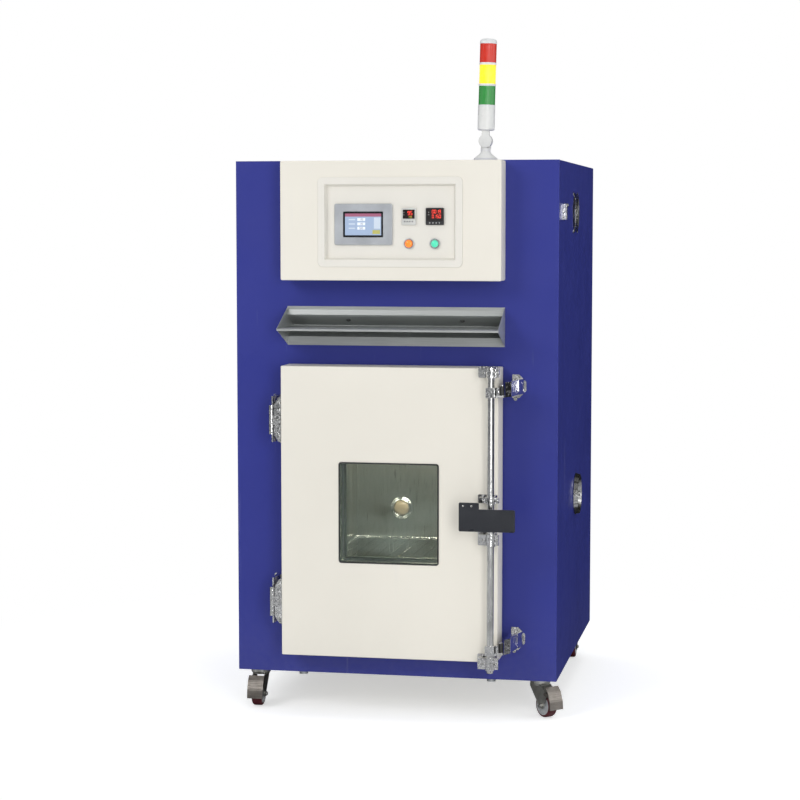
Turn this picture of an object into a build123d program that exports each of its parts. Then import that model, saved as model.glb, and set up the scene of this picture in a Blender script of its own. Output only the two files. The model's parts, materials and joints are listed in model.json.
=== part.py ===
from build123d import *
import os
from math import atan2, cos, degrees, hypot, radians, sin

os.makedirs("parts", exist_ok=True)

# High-temperature aging chamber on casters: a sheet-metal cabinet with an insulated
# stainless chamber, a thick hinged door with a bar latch, a control box and a signal tower.
# Millimetres. X runs to the user's right, Y into the depth, Z up, floor at Z = 0.

# Cabinet
cab_w = 884.0
cab_d = 900.0
cab_h = 1400.0
caster_h = 104.0
skin = 1.5
fit = 0.3
edge_r = 3.0
base_tube = 40.0
base_lip = 18.0
boss_r = 12.0
boss_h = 9.0
boss_x = 262.0

# Chamber
ch_w = 450.0
ch_h = 700.0
ch_d = 650.0
liner_t = 1.2
liner_flange = 40.0
insulation_t = 85.0
baffle_depth = 555.0
baffle_return = 14.0

# Door
door_w = 590.0
door_h = 785.0
door_t = 86.0
door_gap = 10.0
door_mid = 458.5
door_skin = 1.5
door_edge_r = 3.0
door_lip = 16.0
plug_depth = 18.0
plug_margin = 16.0
gasket_w = 22.0
gasket_gap = 0.3
window = 266.0
window_r = 6.0
pane_t = 5.0
seal_lip = 2.0
seal_cover = 1.5
seal_inset = 0.5
seal_proud = 2.0

# Hinges
hinge_up = 247.0
hinge_leaf_h = 124.0
hinge_leaf_t = 3.0
knuckle_r = 6.5
knuckle_h = 26.0
knuckle_gap = 0.3
hinge_pin_r = 3.0
hinge_out = 27.0
hinge_back = 2.0
hinge_base_w = 32.0
hinge_shoulder = 8.0
running = 0.05
screw_r = 4.2
screw_h = 2.2
small_screw_r = 3.4
small_screw_h = 2.0

# Bar latch
rod_r = 9.5
rod_in = 14.0
rod_stand = 40.0
rod_low = 46.0
rod_high = 858.0
bracket_w = 52.0
bracket_wall = 3.5
bracket_t = 3.0
bracket_ear_left = 32.0
bracket_ear_right = 22.0
bracket_ear_t = 8.0
collar_r = 13.0
collar_h = 26.0
cam_top = 790.0
cam_low = 107.0
arm_reach = 30.0
arm_angle = 25.0
arm_t = 6.0
arm_end_r = 8.0
arm_web_r = 16.5
arm_web_w = 16.0
arm_web_t = 7.0
bolt_r = 4.0
bolt_h = 4.0
roller_r = 6.5
roller_h = 24.0
roller_pin_r = 3.0
keeper_base_w = 38.0
keeper_h = 63.0
keeper_t = 3.0
keeper_gap = 1.4
keeper_web = 40.0
keeper_nose = 24.0
keeper_cover_t = 2.5
keeper_screw_up = 25.5
handle_w = 148.0
handle_h = 59.0
handle_t = 6.0
handle_stand = 42.0
handle_tab_w = 53.0
handle_tab_h = 17.0
handle_stem_w = 32.0
handle_stem_h = 36.0

# Control box and instruments
box_w = 597.0
box_h = 318.0
box_d = 78.0
box_drop = 2.0
box_r = 4.0
panel_w = 392.0
panel_h = 239.0
panel_mid = 1235.0
panel_rim = 18.0
panel_proud = 3.0
panel_recess = 15.0
panel_taper = 20.0
panel_r = 14.0
panel_t = 2.0
hmi_w = 157.0
hmi_h = 110.0
hmi_x = -73.0
hmi_mid = 1229.0
hmi_proud = 8.0
hmi_glass_w = 109.0
hmi_glass_h = 69.0
meter_x = 50.0
meter_w = 38.0
meter_h = 45.0
timer_x = 120.0
timer_w = 48.0
timer_h = 45.0
meter_mid = 1250.0
meter_proud = 7.0
meter_body = 60.0
button_mid = 1178.0
button_bezel_r = 14.0
button_bezel_h = 5.0
button_cap_r = 9.4
button_barrel_r = 11.0
button_gap = 0.3
button_proud = 3.5

# Vent visor between the control box and the door
visor_w = 597.0
visor_top = 1007.0
visor_slot_top = 981.0
visor_shelf = 951.0
visor_slot_low = 925.0
visor_low = 903.0
visor_out = 125.0
visor_in = 58.0
visor_t = 1.5
visor_bulge = 6.0

# Signal tower
tower_x = 235.6
tower_y = 60.0
tower_flange_r = 32.0
tower_flange_h = 17.0
tower_neck_r = 13.0
tower_pivot = 52.0
tower_disc_r = 18.0
tower_r = 22.8
tower_lean = 1.5
tower_body_low = 28.0
tower_body_h = 62.0
lens_h = 50.0
ring_h = 6.0
lens_inset = 0.6
lens_t = 2.4
tower_core_r = 7.0
tower_pin_r = 4.0
tower_disc_t = 11.7
tower_cap_h = 13.0

# Side fan, lock and port on the right wall
fan_y = 388.0
fan_z = 1262.0
fan_size = 120.0
fan_bore_r = 56.0
fan_pitch = 105.0
fan_t = 25.0
fan_hub_r = 21.0
fan_blade_r = 53.5
fan_pin_r = 4.0
fan_screw_r = 2.2
fan_blades = 7
guard_stand = 7.0
guard_wire_r = 1.3
lock_y = 78.0
lock_z = 1263.0
lock_w = 26.0
lock_h = 46.0
lock_t = 5.0
lock_pin_out = 3.2
lock_pin_r = 1.5
lock_stem_r = 7.5
paddle_t = 7.0
paddle_w = 11.0
paddle_head_r = 2.9
port_y = 440.0
port_z = 456.0
port_r = 60.0
port_bore_r = 25.0
port_proud = 14.0
port_wall = 2.0

# Casters
caster_x = 392.0
caster_front = 52.0
caster_back = 62.0
wheel_r = 32.5
wheel_w = 28.0
wheel_trail = 28.0
core_r = 23.0
axle_r = 4.0
plate_w = 84.0
plate_d = 66.0
plate_t = 4.0
race_r = 27.0
fork_t = 2.5
fork_gap = 1.5
kingpin_r = 5.0
swivel_left = -90.0
swivel_right = -45.0
head_w = 44.0
boss_end_r = 10.0
pedal_t = 3.5
pedal_w = 44.0
pedal_pin_x = 18.3
pedal_pin_z = 34.4
pedal_pin_r = 2.5
lug_r = 5.0
lug_t = 2.5

# Services at the back
gland_len = 24.0
gland_r = 12.0
gland_hex_r = 16.0
gland_nut_h = 5.0
gland_thread = 14.0
cable_r = 6.0
louvre_w = 8.0
louvre_pitch = 26.0

# Derived planes and centres
door_front = door_gap + door_t
front_reach = door_front + rod_stand + handle_stand + handle_t
face_y = -(cab_d + gland_len - front_reach) / 2
back_y = face_y + cab_d
mid_y = face_y + cab_d / 2
side_x = cab_w / 2
base_z = caster_h
top_z = base_z + cab_h
door_z = base_z + door_mid
door_front_y = face_y - door_front
door_back_y = face_y - door_gap
baffle_y = face_y + baffle_depth
liner_back_y = face_y + ch_d
blower_z = door_z + 180.0
pivot_x = -door_w / 2 - hinge_out
pivot_y = door_front_y + hinge_back
rod_x = door_w / 2 - rod_in
rod_y = door_front_y - rod_stand
box_mid = base_z + cab_h - box_drop - box_h / 2


def facing(y, x=0.0, z=0.0):
    """Sketch plane at depth y that faces the user: local x is +X, local y is +Z."""
    return Plane(origin=(x, y, z), x_dir=(1, 0, 0), z_dir=(0, -1, 0))


def level(z, x=0.0, y=0.0):
    """Sketch plane at height z, seen from above."""
    return Plane(origin=(x, y, z))


def abeam(x, y=0.0, z=0.0):
    """Sketch plane across the width at x: local x is +Y, local y is +Z."""
    return Plane(origin=(x, y, z), x_dir=(0, 1, 0), z_dir=(1, 0, 0))


def strip(start, end, thickness):
    """Add a thin straight strip of sheet between two points to the sketch."""
    run = hypot(end[0] - start[0], end[1] - start[1])
    angle = degrees(atan2(end[1] - start[1], end[0] - start[0]))
    middle = ((start[0] + end[0]) / 2, (start[1] + end[1]) / 2)
    with Locations(Location((middle[0], middle[1], 0), (0, 0, angle))):
        Rectangle(run + thickness, thickness)


# Base frame: welded rectangular tube with caster pads and four jacking bosses
base_w = cab_w - 2 * skin - 2 * fit
base_d = cab_d - 2 * skin - 2 * fit
with BuildPart() as base_frame:
    with BuildSketch(level(base_z, 0, mid_y)):
        Rectangle(base_w, base_d)
        Rectangle(base_w - 2 * base_tube, base_d - 2 * base_tube, mode=Mode.SUBTRACT)
        Rectangle(base_w, base_tube)
        pad_x = base_w / 2 - plate_w / 2
        pad_y = base_d / 2 - plate_w / 2
        with Locations((-pad_x, -pad_y), (pad_x, -pad_y), (-pad_x, pad_y), (pad_x, pad_y)):
            Rectangle(plate_w, plate_w)
    extrude(amount=base_tube)
    with BuildSketch(level(base_z, 0, mid_y)):
        with Locations((-boss_x, -base_d / 2 + base_lip), (boss_x, -base_d / 2 + base_lip)):
            Circle(boss_r)
        with Locations((-boss_x, base_d / 2 - base_lip), (boss_x, base_d / 2 - base_lip)):
            Circle(boss_r)
    extrude(amount=-boss_h)
base_frame.part.label = "base_frame"
export_step(base_frame.part, "parts/base_frame.step")

# Outer casing: one sheet folded over the two sides and the top
casing_d = cab_d - skin
with BuildPart() as outer_casing:
    with BuildSketch(facing(face_y + skin, 0, base_z)):
        with Locations((0, cab_h / 2)):
            Rectangle(cab_w, cab_h)
        with Locations((0, (cab_h - skin) / 2)):
            Rectangle(cab_w - 2 * skin, cab_h - skin, mode=Mode.SUBTRACT)
    extrude(amount=-casing_d)
    fillet(outer_casing.edges().filter_by(Axis.Y).group_by(Axis.Z)[-1], edge_r)
    with BuildSketch(abeam(side_x, fan_y + face_y, fan_z + base_z)):
        Circle(fan_bore_r)
        with GridLocations(fan_pitch, fan_pitch, 2, 2):
            Circle(2.2)
    extrude(amount=-2 * skin, mode=Mode.SUBTRACT)
    with BuildSketch(abeam(side_x, port_y + face_y, port_z + base_z)):
        Circle(port_bore_r + port_wall + fit)
    extrude(amount=-2 * skin, mode=Mode.SUBTRACT)
    with BuildSketch(abeam(side_x, lock_y + face_y, lock_z + base_z)):
        Circle(8)
    extrude(amount=-2 * skin, mode=Mode.SUBTRACT)
    with BuildSketch(level(top_z, tower_x, tower_y + face_y)):
        Circle(8)
    extrude(amount=-2 * skin, mode=Mode.SUBTRACT)
outer_casing.part.label = "outer_casing"
export_step(outer_casing.part, "parts/outer_casing.step")

# Front frame: the face sheet with folded returns and three cut-outs
mouth_w = ch_w + 2 * liner_t + 2 * fit
mouth_h = ch_h + 2 * liner_t + 2 * fit
with BuildPart() as front_frame:
    with BuildSketch(facing(face_y + skin, 0, base_z + cab_h / 2)):
        Rectangle(cab_w, cab_h)
    extrude(amount=skin)
    fillet(front_frame.edges().filter_by(Axis.Z).group_by(Axis.Y)[0], skin * 0.9)
    with BuildSketch(facing(face_y + skin + base_lip, 0, base_z + (cab_h + base_tube) / 2)):
        Rectangle(cab_w - 2 * skin - 2 * fit, cab_h - base_tube - 2 * skin)
        Rectangle(cab_w - 4 * skin - 2 * fit, cab_h - base_tube - 4 * skin, mode=Mode.SUBTRACT)
    extrude(amount=base_lip)
    with BuildSketch(facing(face_y - skin, 0, door_z)):
        Rectangle(mouth_w, mouth_h)
    extrude(amount=-4 * skin, mode=Mode.SUBTRACT)
    with BuildSketch(facing(face_y - skin, 0, box_mid)):
        Rectangle(box_w - 90, box_h - 70)
    extrude(amount=-4 * skin, mode=Mode.SUBTRACT)
    slot_mid = base_z + (visor_slot_top + visor_slot_low) / 2
    with BuildSketch(facing(face_y - skin, 0, slot_mid)):
        Rectangle(visor_w + 2 * fit, visor_slot_top - visor_slot_low + 4)
    extrude(amount=-4 * skin, mode=Mode.SUBTRACT)
front_frame.part.label = "front_frame"
export_step(front_frame.part, "parts/front_frame.step")

# Rear panel: screwed-on sheet with two banks of louvre slots and the gland hole
gland_x = 330.0
gland_z = base_z + 130.0
motor_r = 62.0
shaft_hole_r = 9.0
with BuildPart() as rear_panel:
    with BuildSketch(facing(back_y, 0, base_z + cab_h / 2)):
        Rectangle(cab_w - 2 * skin - 2 * fit, cab_h - 2 * skin - 2 * fit)
    extrude(amount=skin)
    with BuildSketch(facing(back_y, 0, base_z + cab_h * 0.82)):
        with GridLocations(360, louvre_pitch, 2, 8):
            SlotOverall(240, louvre_w)
    extrude(amount=skin, mode=Mode.SUBTRACT)
    with BuildSketch(facing(back_y, 0, blower_z)):
        with GridLocations(180, louvre_pitch, 1, 7):
            SlotOverall(150, louvre_w)
    extrude(amount=skin, mode=Mode.SUBTRACT)
    with BuildSketch(facing(back_y, gland_x, gland_z)):
        Circle(gland_r + 0.5)
    extrude(amount=skin, mode=Mode.SUBTRACT)
rear_panel.part.label = "rear_panel"
export_step(rear_panel.part, "parts/rear_panel.step")

# Chamber liner: open-fronted stainless box with a flange that the door seals against
with BuildPart() as chamber_liner:
    with BuildSketch(facing(liner_back_y, 0, door_z)):
        Rectangle(ch_w + 2 * liner_t, ch_h + 2 * liner_t)
    extrude(amount=ch_d)
    with BuildSketch(facing(face_y, 0, door_z)):
        RectangleRounded(ch_w + 2 * liner_flange, ch_h + 2 * liner_flange, 6)
    extrude(amount=liner_t)
    with BuildSketch(facing(liner_back_y - liner_t, 0, door_z)):
        Rectangle(ch_w, ch_h)
    extrude(amount=ch_d + 2 * liner_t, mode=Mode.SUBTRACT)
    with BuildSketch(abeam(ch_w / 2 - liner_t, port_y + face_y, port_z + base_z)):
        Circle(port_bore_r + port_wall + fit)
    extrude(amount=4 * liner_t, mode=Mode.SUBTRACT)
    with BuildSketch(facing(liner_back_y + liner_t, 0, blower_z)):
        Circle(shaft_hole_r)
    extrude(amount=4 * liner_t, mode=Mode.SUBTRACT)
chamber_liner.part.label = "chamber_liner"
export_step(chamber_liner.part, "parts/chamber_liner.step")

# Chamber insulation: rock wool packed around the liner
wool_front = face_y + skin + base_lip + fit
wool_back = liner_back_y + insulation_t
wool_low = base_z + base_tube + fit
wool_high = door_z + ch_h / 2 + insulation_t
wool_w = ch_w + 2 * insulation_t
with BuildPart() as chamber_insulation:
    with BuildSketch(facing(wool_back, 0, (wool_low + wool_high) / 2)):
        Rectangle(wool_w, wool_high - wool_low)
    extrude(amount=wool_back - wool_front)
    with BuildSketch(facing(liner_back_y + fit, 0, door_z)):
        Rectangle(ch_w + 2 * liner_t + 2 * fit, ch_h + 2 * liner_t + 2 * fit)
    extrude(amount=ch_d, mode=Mode.SUBTRACT)
    with BuildSketch(abeam(ch_w / 2, port_y + face_y, port_z + base_z)):
        Circle(port_bore_r + port_wall + fit)
    extrude(amount=2 * insulation_t, mode=Mode.SUBTRACT)
    with BuildSketch(facing(wool_back + 1, 0, blower_z)):
        Circle(shaft_hole_r)
    extrude(amount=insulation_t + 2, mode=Mode.SUBTRACT)
chamber_insulation.part.label = "chamber_insulation"
export_step(chamber_insulation.part, "parts/chamber_insulation.step")

# Air baffle: back wall of the working space, with the blower inlet and outlet slots
inlet_hole_r = 5.5
inlet_step = 18.0
lamp_x = -88.0
lamp_z = base_z + 386.0
with BuildPart() as air_baffle:
    with BuildSketch(facing(baffle_y, 0, door_z)):
        Rectangle(ch_w - 2 * fit, ch_h - 2 * fit)
    extrude(amount=liner_t)
    with BuildSketch(facing(baffle_y + baffle_return, 0, door_z)):
        Rectangle(ch_w - 2 * fit, ch_h - 2 * fit)
        Rectangle(ch_w - 2 * fit - 2 * liner_t, ch_h - 2 * fit - 2 * liner_t, mode=Mode.SUBTRACT)
    extrude(amount=baffle_return)
    with BuildSketch(facing(baffle_y, 0, blower_z)):
        for ring in (1, 2, 3):
            with PolarLocations(ring * inlet_step, 6 * ring):
                Circle(inlet_hole_r)
    extrude(amount=2 * liner_t, mode=Mode.SUBTRACT)
    with BuildSketch(facing(baffle_y, 0, door_z - ch_h / 2 + 46)):
        with GridLocations(50, 22, 8, 2):
            SlotOverall(34, 8)
    extrude(amount=2 * liner_t, mode=Mode.SUBTRACT)
air_baffle.part.label = "air_baffle"
export_step(air_baffle.part, "parts/air_baffle.step")

# Chamber lamp: ring with three screws and a domed glass, on the air baffle
lamp_r = 33.0
lamp_ring_t = 6.0
lamp_glass_r = 21.0
lamp_dome = 9.0
with BuildPart() as chamber_lamp:
    with BuildSketch(facing(baffle_y - liner_t, lamp_x, lamp_z)):
        Circle(lamp_r)
    extrude(amount=lamp_ring_t)
    chamfer(chamber_lamp.faces().sort_by(Axis.Y)[0].edges(), 2)
    with BuildSketch(facing(baffle_y - liner_t - lamp_ring_t, lamp_x, lamp_z)):
        Circle(lamp_glass_r)
    extrude(amount=lamp_dome)
    fillet(chamber_lamp.faces().sort_by(Axis.Y)[0].edges(), 5)
    with BuildSketch(facing(baffle_y - liner_t - lamp_ring_t, lamp_x, lamp_z)):
        with PolarLocations((lamp_r + lamp_glass_r) / 2 - 0.5, 3, start_angle=90):
            Circle(2.6)
    extrude(amount=1.8)
chamber_lamp.part.label = "chamber_lamp"
export_step(chamber_lamp.part, "parts/chamber_lamp.step")

# Heater elements: two tubular rings around the blower wheel, their legs seated on the liner's back
heater_r = 118.0
heater_tube = 4.0
leg_angle = 8.0
leg_x = heater_r * cos(radians(leg_angle))
leg_rise = heater_r * sin(radians(leg_angle))
with BuildPart() as heater_elements:
    for ring_y in (baffle_y + 34, baffle_y + 62):
        across = (-sin(radians(leg_angle)), 0, cos(radians(leg_angle)))
        with BuildSketch(Plane(origin=(leg_x, ring_y, blower_z + leg_rise), z_dir=across)):
            Circle(heater_tube)
        ring_axis = Axis((0, ring_y, blower_z), (0, -1, 0))
        revolve(axis=ring_axis, revolution_arc=360 - 2 * leg_angle)
        with BuildSketch(facing(liner_back_y - liner_t, 0, blower_z)):
            with Locations((leg_x, -leg_rise), (leg_x, leg_rise)):
                Circle(heater_tube)
        extrude(amount=liner_back_y - liner_t - ring_y)
heater_elements.part.label = "heater_elements"
export_step(heater_elements.part, "parts/heater_elements.step")

# Blower: motor behind the insulation, wheel and shaft in the plenum behind the baffle
motor_l = 92.0
motor_plate = 160.0
motor_plate_t = 5.0
motor_bore = 40.0
shaft_r = 7.0
wheel_depth = 46.0
blower_r = 90.0
blade_count = 12
motor_front = wool_back + fit
with BuildPart() as blower_motor:
    with BuildSketch(facing(motor_front, 0, blower_z)):
        RectangleRounded(motor_plate, motor_plate, 10)
    extrude(amount=-motor_plate_t)
    with BuildSketch(facing(motor_front + motor_plate_t, 0, blower_z)):
        Circle(motor_r)
    extrude(amount=-motor_l)
    with BuildSketch(facing(motor_front + 15, 0, blower_z)):
        with PolarLocations(motor_r + 1, 20):
            Rectangle(7, 2.5)
    extrude(amount=20 - motor_l)
    fillet(blower_motor.faces().sort_by(Axis.Y)[-1].edges(), 8)
    with BuildSketch(facing(motor_front, 0, blower_z)):
        Circle(shaft_r + running)
    extrude(amount=-motor_bore, mode=Mode.SUBTRACT)
blower_motor.part.label = "blower_motor"
export_step(blower_motor.part, "parts/blower_motor.step")

with BuildPart() as blower_wheel:
    wheel_back = baffle_y + 72
    with BuildSketch(facing(motor_front + motor_bore - 5, 0, blower_z)):
        Circle(shaft_r)
    extrude(amount=motor_front + motor_bore - 5 - wheel_back + 20)
    with BuildSketch(facing(wheel_back, 0, blower_z)):
        Circle(blower_r)
    extrude(amount=2)
    with BuildSketch(facing(wheel_back, 0, blower_z)):
        Circle(22)
    extrude(amount=26)
    with BuildSketch(facing(wheel_back - 1, 0, blower_z)):
        with PolarLocations((blower_r + 34) / 2, blade_count):
            with Locations(Location((0, 0, 0), (0, 0, 35))):
                Rectangle(blower_r - 32, 2)
        Circle(blower_r, mode=Mode.INTERSECT)
    extrude(amount=wheel_depth)
    with BuildSketch(facing(wheel_back - wheel_depth - 1, 0, blower_z)):
        Circle(blower_r)
        Circle(blower_r - 26, mode=Mode.SUBTRACT)
    extrude(amount=2)
blower_wheel.part.label = "blower_wheel"
export_step(blower_wheel.part, "parts/blower_wheel.step")

# Shelf rails: a slotted post and a ledge for each shelf on either wall
shelf_levels = (door_z - 160, door_z + 160)
shelf_front = face_y + 45
shelf_d = 470.0
ledge_w = 14.0
rail_t = 1.5
with BuildPart() as shelf_rails:
    for side in (-1, 1):
        wall_x = side * (ch_w / 2 - rail_t / 2)
        for post_y in (shelf_front + 22, shelf_front + shelf_d - 22):
            with BuildSketch(level(door_z - ch_h / 2, wall_x, post_y)):
                Rectangle(rail_t, 22)
            extrude(amount=ch_h - 2 * fit)
        for shelf_z in shelf_levels:
            with BuildSketch(facing(shelf_front + shelf_d, wall_x, shelf_z)):
                with Locations((-side * (ledge_w - rail_t) / 2, -rail_t / 2)):
                    Rectangle(ledge_w, rail_t)
                with Locations((0, ledge_w / 2 - rail_t)):
                    Rectangle(rail_t, ledge_w)
            extrude(amount=shelf_d)
shelf_rails.part.label = "shelf_rails"
export_step(shelf_rails.part, "parts/shelf_rails.step")

# Wire shelves: a rod frame with welded cross wires
shelf_w = ch_w - 2 * rail_t - 5
shelf_rod = 4.0
shelf_wire = 2.0
wire_pitch = 33.0
with BuildPart() as wire_shelves:
    for shelf_z in shelf_levels:
        rod_z = shelf_z + shelf_rod
        for end_y in (shelf_front + shelf_rod, shelf_front + shelf_d - shelf_rod):
            with BuildSketch(abeam(-shelf_w / 2, end_y, rod_z)):
                Circle(shelf_rod)
            extrude(amount=shelf_w)
        for rod_side in (-1, 1):
            with BuildSketch(facing(shelf_front + shelf_d - shelf_rod, 0, rod_z)):
                with Locations((rod_side * (shelf_w / 2 - shelf_rod), 0)):
                    Circle(shelf_rod)
            extrude(amount=shelf_d - 2 * shelf_rod)
        with BuildSketch(facing(shelf_front + shelf_d - shelf_rod, 0, rod_z + shelf_rod - shelf_wire / 2)):
            with GridLocations(wire_pitch, 1, 12, 1):
                Rectangle(2 * shelf_wire, shelf_wire)
        extrude(amount=shelf_d - 2 * shelf_rod)
wire_shelves.part.label = "wire_shelves"
export_step(wire_shelves.part, "parts/wire_shelves.step")

# Vent visor: folded stainless hood with a shelf and end gussets around a recessed slot
visor_z = base_z + visor_shelf
end_x = visor_w / 2
with BuildPart() as vent_visor:
    half_t = visor_t / 2
    slot_top = base_z + visor_slot_top
    slot_low = base_z + visor_slot_low
    with BuildSketch(abeam(-end_x, face_y)):
        strip((-half_t, base_z + visor_top), (-half_t, base_z + visor_top - 9), visor_t)
        strip((-half_t - fit, base_z + visor_top - 9), (-visor_bulge, slot_top + 4), visor_t)
        strip((-visor_bulge, slot_top + 4), (-half_t, slot_top), visor_t)
        strip((-half_t, slot_top), (visor_in, visor_z + 4), visor_t)
        strip((visor_in, visor_z + 4), (visor_in, visor_z - 4), visor_t)
        strip((visor_in, visor_z - 4), (-half_t, slot_low), visor_t)
        strip((-half_t, slot_low), (-half_t, base_z + visor_low), visor_t)
        strip((-visor_out + 2, visor_z), (visor_in, visor_z), visor_t)
        strip((-visor_out + 1.5, visor_z), (-visor_out + 1.5, visor_z - 4), visor_t)
    extrude(amount=visor_w)
    for gusset_x in (-end_x, end_x - visor_t):
        with BuildSketch(abeam(gusset_x, face_y)):
            with BuildLine():
                Polyline(
                    (0, base_z + visor_top),
                    (-visor_out, visor_z + 1),
                    (-visor_out, visor_z - 2),
                    (0, base_z + visor_low),
                    (0, slot_low),
                    (visor_in, visor_z - 4),
                    (visor_in, visor_z + 4),
                    (0, slot_top),
                    close=True,
                )
            make_face()
        extrude(amount=visor_t)
vent_visor.part.label = "vent_visor"
export_step(vent_visor.part, "parts/vent_visor.step")

# Control box: cream folded cover, open at the back, cut out for the instrument panel
box_t = 1.5
box_front_y = face_y - box_d
panel_z = base_z + panel_mid
well_w = panel_w - 2 * panel_rim
well_h = panel_h - 2 * panel_rim
with BuildPart() as control_box:
    with BuildSketch(facing(face_y, 0, box_mid)):
        Rectangle(box_w, box_h)
    extrude(amount=box_d)
    fillet(control_box.edges().filter_by(Axis.Y), box_r)
    fillet(control_box.faces().sort_by(Axis.Y)[0].edges(), 2)
    with BuildSketch(facing(face_y, 0, box_mid)):
        RectangleRounded(box_w - 2 * box_t, box_h - 2 * box_t, box_r - box_t)
    extrude(amount=box_d - box_t, mode=Mode.SUBTRACT)
    with BuildSketch(facing(box_front_y + 2 * box_t, 0, panel_z)):
        Rectangle(well_w + 4, well_h + 4)
    extrude(amount=4 * box_t, mode=Mode.SUBTRACT)
control_box.part.label = "control_box"
export_step(control_box.part, "parts/control_box.step")

# Instrument panel: flanged surround with a tapered well and a floor that holds the instruments
floor_y = box_front_y - panel_proud + panel_recess
barrel_x = (meter_x, timer_x)
with BuildPart() as instrument_panel:
    with BuildSketch(facing(box_front_y, 0, panel_z)):
        RectangleRounded(panel_w, panel_h, panel_r)
    extrude(amount=panel_proud)
    fillet(instrument_panel.faces().sort_by(Axis.Y)[0].edges(), 2)
    with BuildSketch(facing(box_front_y, 0, panel_z)):
        Rectangle(well_w, well_h)
    extrude(amount=-(panel_recess - panel_proud + panel_t))
    with BuildSketch(facing(box_front_y - panel_proud, 0, panel_z)):
        Rectangle(well_w - 2, well_h - 2)
    extrude(amount=-panel_recess, taper=panel_taper, mode=Mode.SUBTRACT)
    with BuildSketch(facing(floor_y - 1, 0, base_z + hmi_mid)):
        with Locations((hmi_x, 0)):
            Rectangle(hmi_w - 20, hmi_h - 20)
    extrude(amount=-panel_t - 2, mode=Mode.SUBTRACT)
    with BuildSketch(facing(floor_y - 1, 0, base_z + meter_mid)):
        with Locations((meter_x, 0)):
            Rectangle(meter_w - 4, meter_h - 4)
        with Locations((timer_x, 0)):
            Rectangle(timer_w - 4, timer_h - 4)
    extrude(amount=-panel_t - 2, mode=Mode.SUBTRACT)
    with BuildSketch(facing(floor_y - 1, 0, base_z + button_mid)):
        with Locations((meter_x, 0), (timer_x, 0)):
            Circle(button_barrel_r + fit)
    extrude(amount=-panel_t - 2, mode=Mode.SUBTRACT)
instrument_panel.part.label = "instrument_panel"
export_step(instrument_panel.part, "parts/instrument_panel.step")

# Touch panel: silver frame, dark glass set back in it and the electronics behind the floor
with BuildPart() as touch_panel:
    with BuildSketch(facing(floor_y, hmi_x, base_z + hmi_mid)):
        RectangleRounded(hmi_w, hmi_h, 5)
    extrude(amount=hmi_proud)
    chamfer(touch_panel.faces().sort_by(Axis.Y)[0].edges(), 2.5)
    with BuildSketch(facing(floor_y, hmi_x, base_z + hmi_mid)):
        Rectangle(hmi_w - 21, hmi_h - 21)
    extrude(amount=-38)
    with BuildSketch(facing(floor_y - hmi_proud, hmi_x, base_z + hmi_mid)):
        Rectangle(hmi_glass_w, hmi_glass_h)
    extrude(amount=-1.5, mode=Mode.SUBTRACT)
touch_panel.part.label = "touch_panel"
export_step(touch_panel.part, "parts/touch_panel.step")


def panel_meter(center_x, width, height):
    """Panel-mount instrument: bezel with a recessed face and a long case behind the floor."""
    with BuildPart() as meter:
        with BuildSketch(facing(floor_y, center_x, base_z + meter_mid)):
            RectangleRounded(width, height, 2)
        extrude(amount=meter_proud)
        chamfer(meter.faces().sort_by(Axis.Y)[0].edges(), 1.2)
        with BuildSketch(facing(floor_y, center_x, base_z + meter_mid)):
            Rectangle(width - 5, height - 5)
        extrude(amount=-meter_body)
        with BuildSketch(facing(floor_y - meter_proud, center_x, base_z + meter_mid + 3)):
            Rectangle(width - 8, height - 16)
        extrude(amount=-1, mode=Mode.SUBTRACT)
        with BuildSketch(facing(floor_y - meter_proud, center_x, base_z + meter_mid - height / 2 + 5)):
            with GridLocations(width / 5, 1, 4, 1):
                Rectangle(width / 8, 3)
        extrude(amount=0.8)
    return meter.part


temperature_controller = panel_meter(meter_x, meter_w, meter_h)
temperature_controller.label = "temperature_controller"
export_step(temperature_controller, "parts/temperature_controller.step")

timer = panel_meter(timer_x, timer_w, timer_h)
timer.label = "timer"
export_step(timer, "parts/timer.step")

# Push buttons: two bezels with threaded barrels and nuts, each with its own lit cap
with BuildPart() as button_bezels:
    for barrel in barrel_x:
        with BuildSketch(facing(floor_y, barrel, base_z + button_mid)):
            Circle(button_bezel_r)
        extrude(amount=button_bezel_h)
        chamfer(button_bezels.faces().sort_by(Axis.Y)[0].edges(), 1.2)
        with BuildSketch(facing(floor_y, barrel, base_z + button_mid)):
            Circle(button_barrel_r)
        extrude(amount=-34)
        with BuildSketch(facing(floor_y + panel_t, barrel, base_z + button_mid)):
            RegularPolygon(button_barrel_r + 4, 6)
        extrude(amount=-5)
        with BuildSketch(facing(floor_y - button_bezel_h, barrel, base_z + button_mid)):
            Circle(button_cap_r + button_gap)
        extrude(amount=-button_bezel_h - 22, mode=Mode.SUBTRACT)
button_bezels.part.label = "button_bezels"
export_step(button_bezels.part, "parts/button_bezels.step")

for barrel, cap_name in ((meter_x, "button_power"), (timer_x, "button_run")):
    with BuildPart() as button_cap:
        with BuildSketch(facing(floor_y + 14, barrel, base_z + button_mid)):
            Circle(button_cap_r)
        extrude(amount=14 + button_bezel_h + button_proud)
        fillet(button_cap.faces().sort_by(Axis.Y)[0].edges(), 2)
    button_cap.part.label = cap_name
    export_step(button_cap.part, f"parts/{cap_name}.step")

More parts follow.
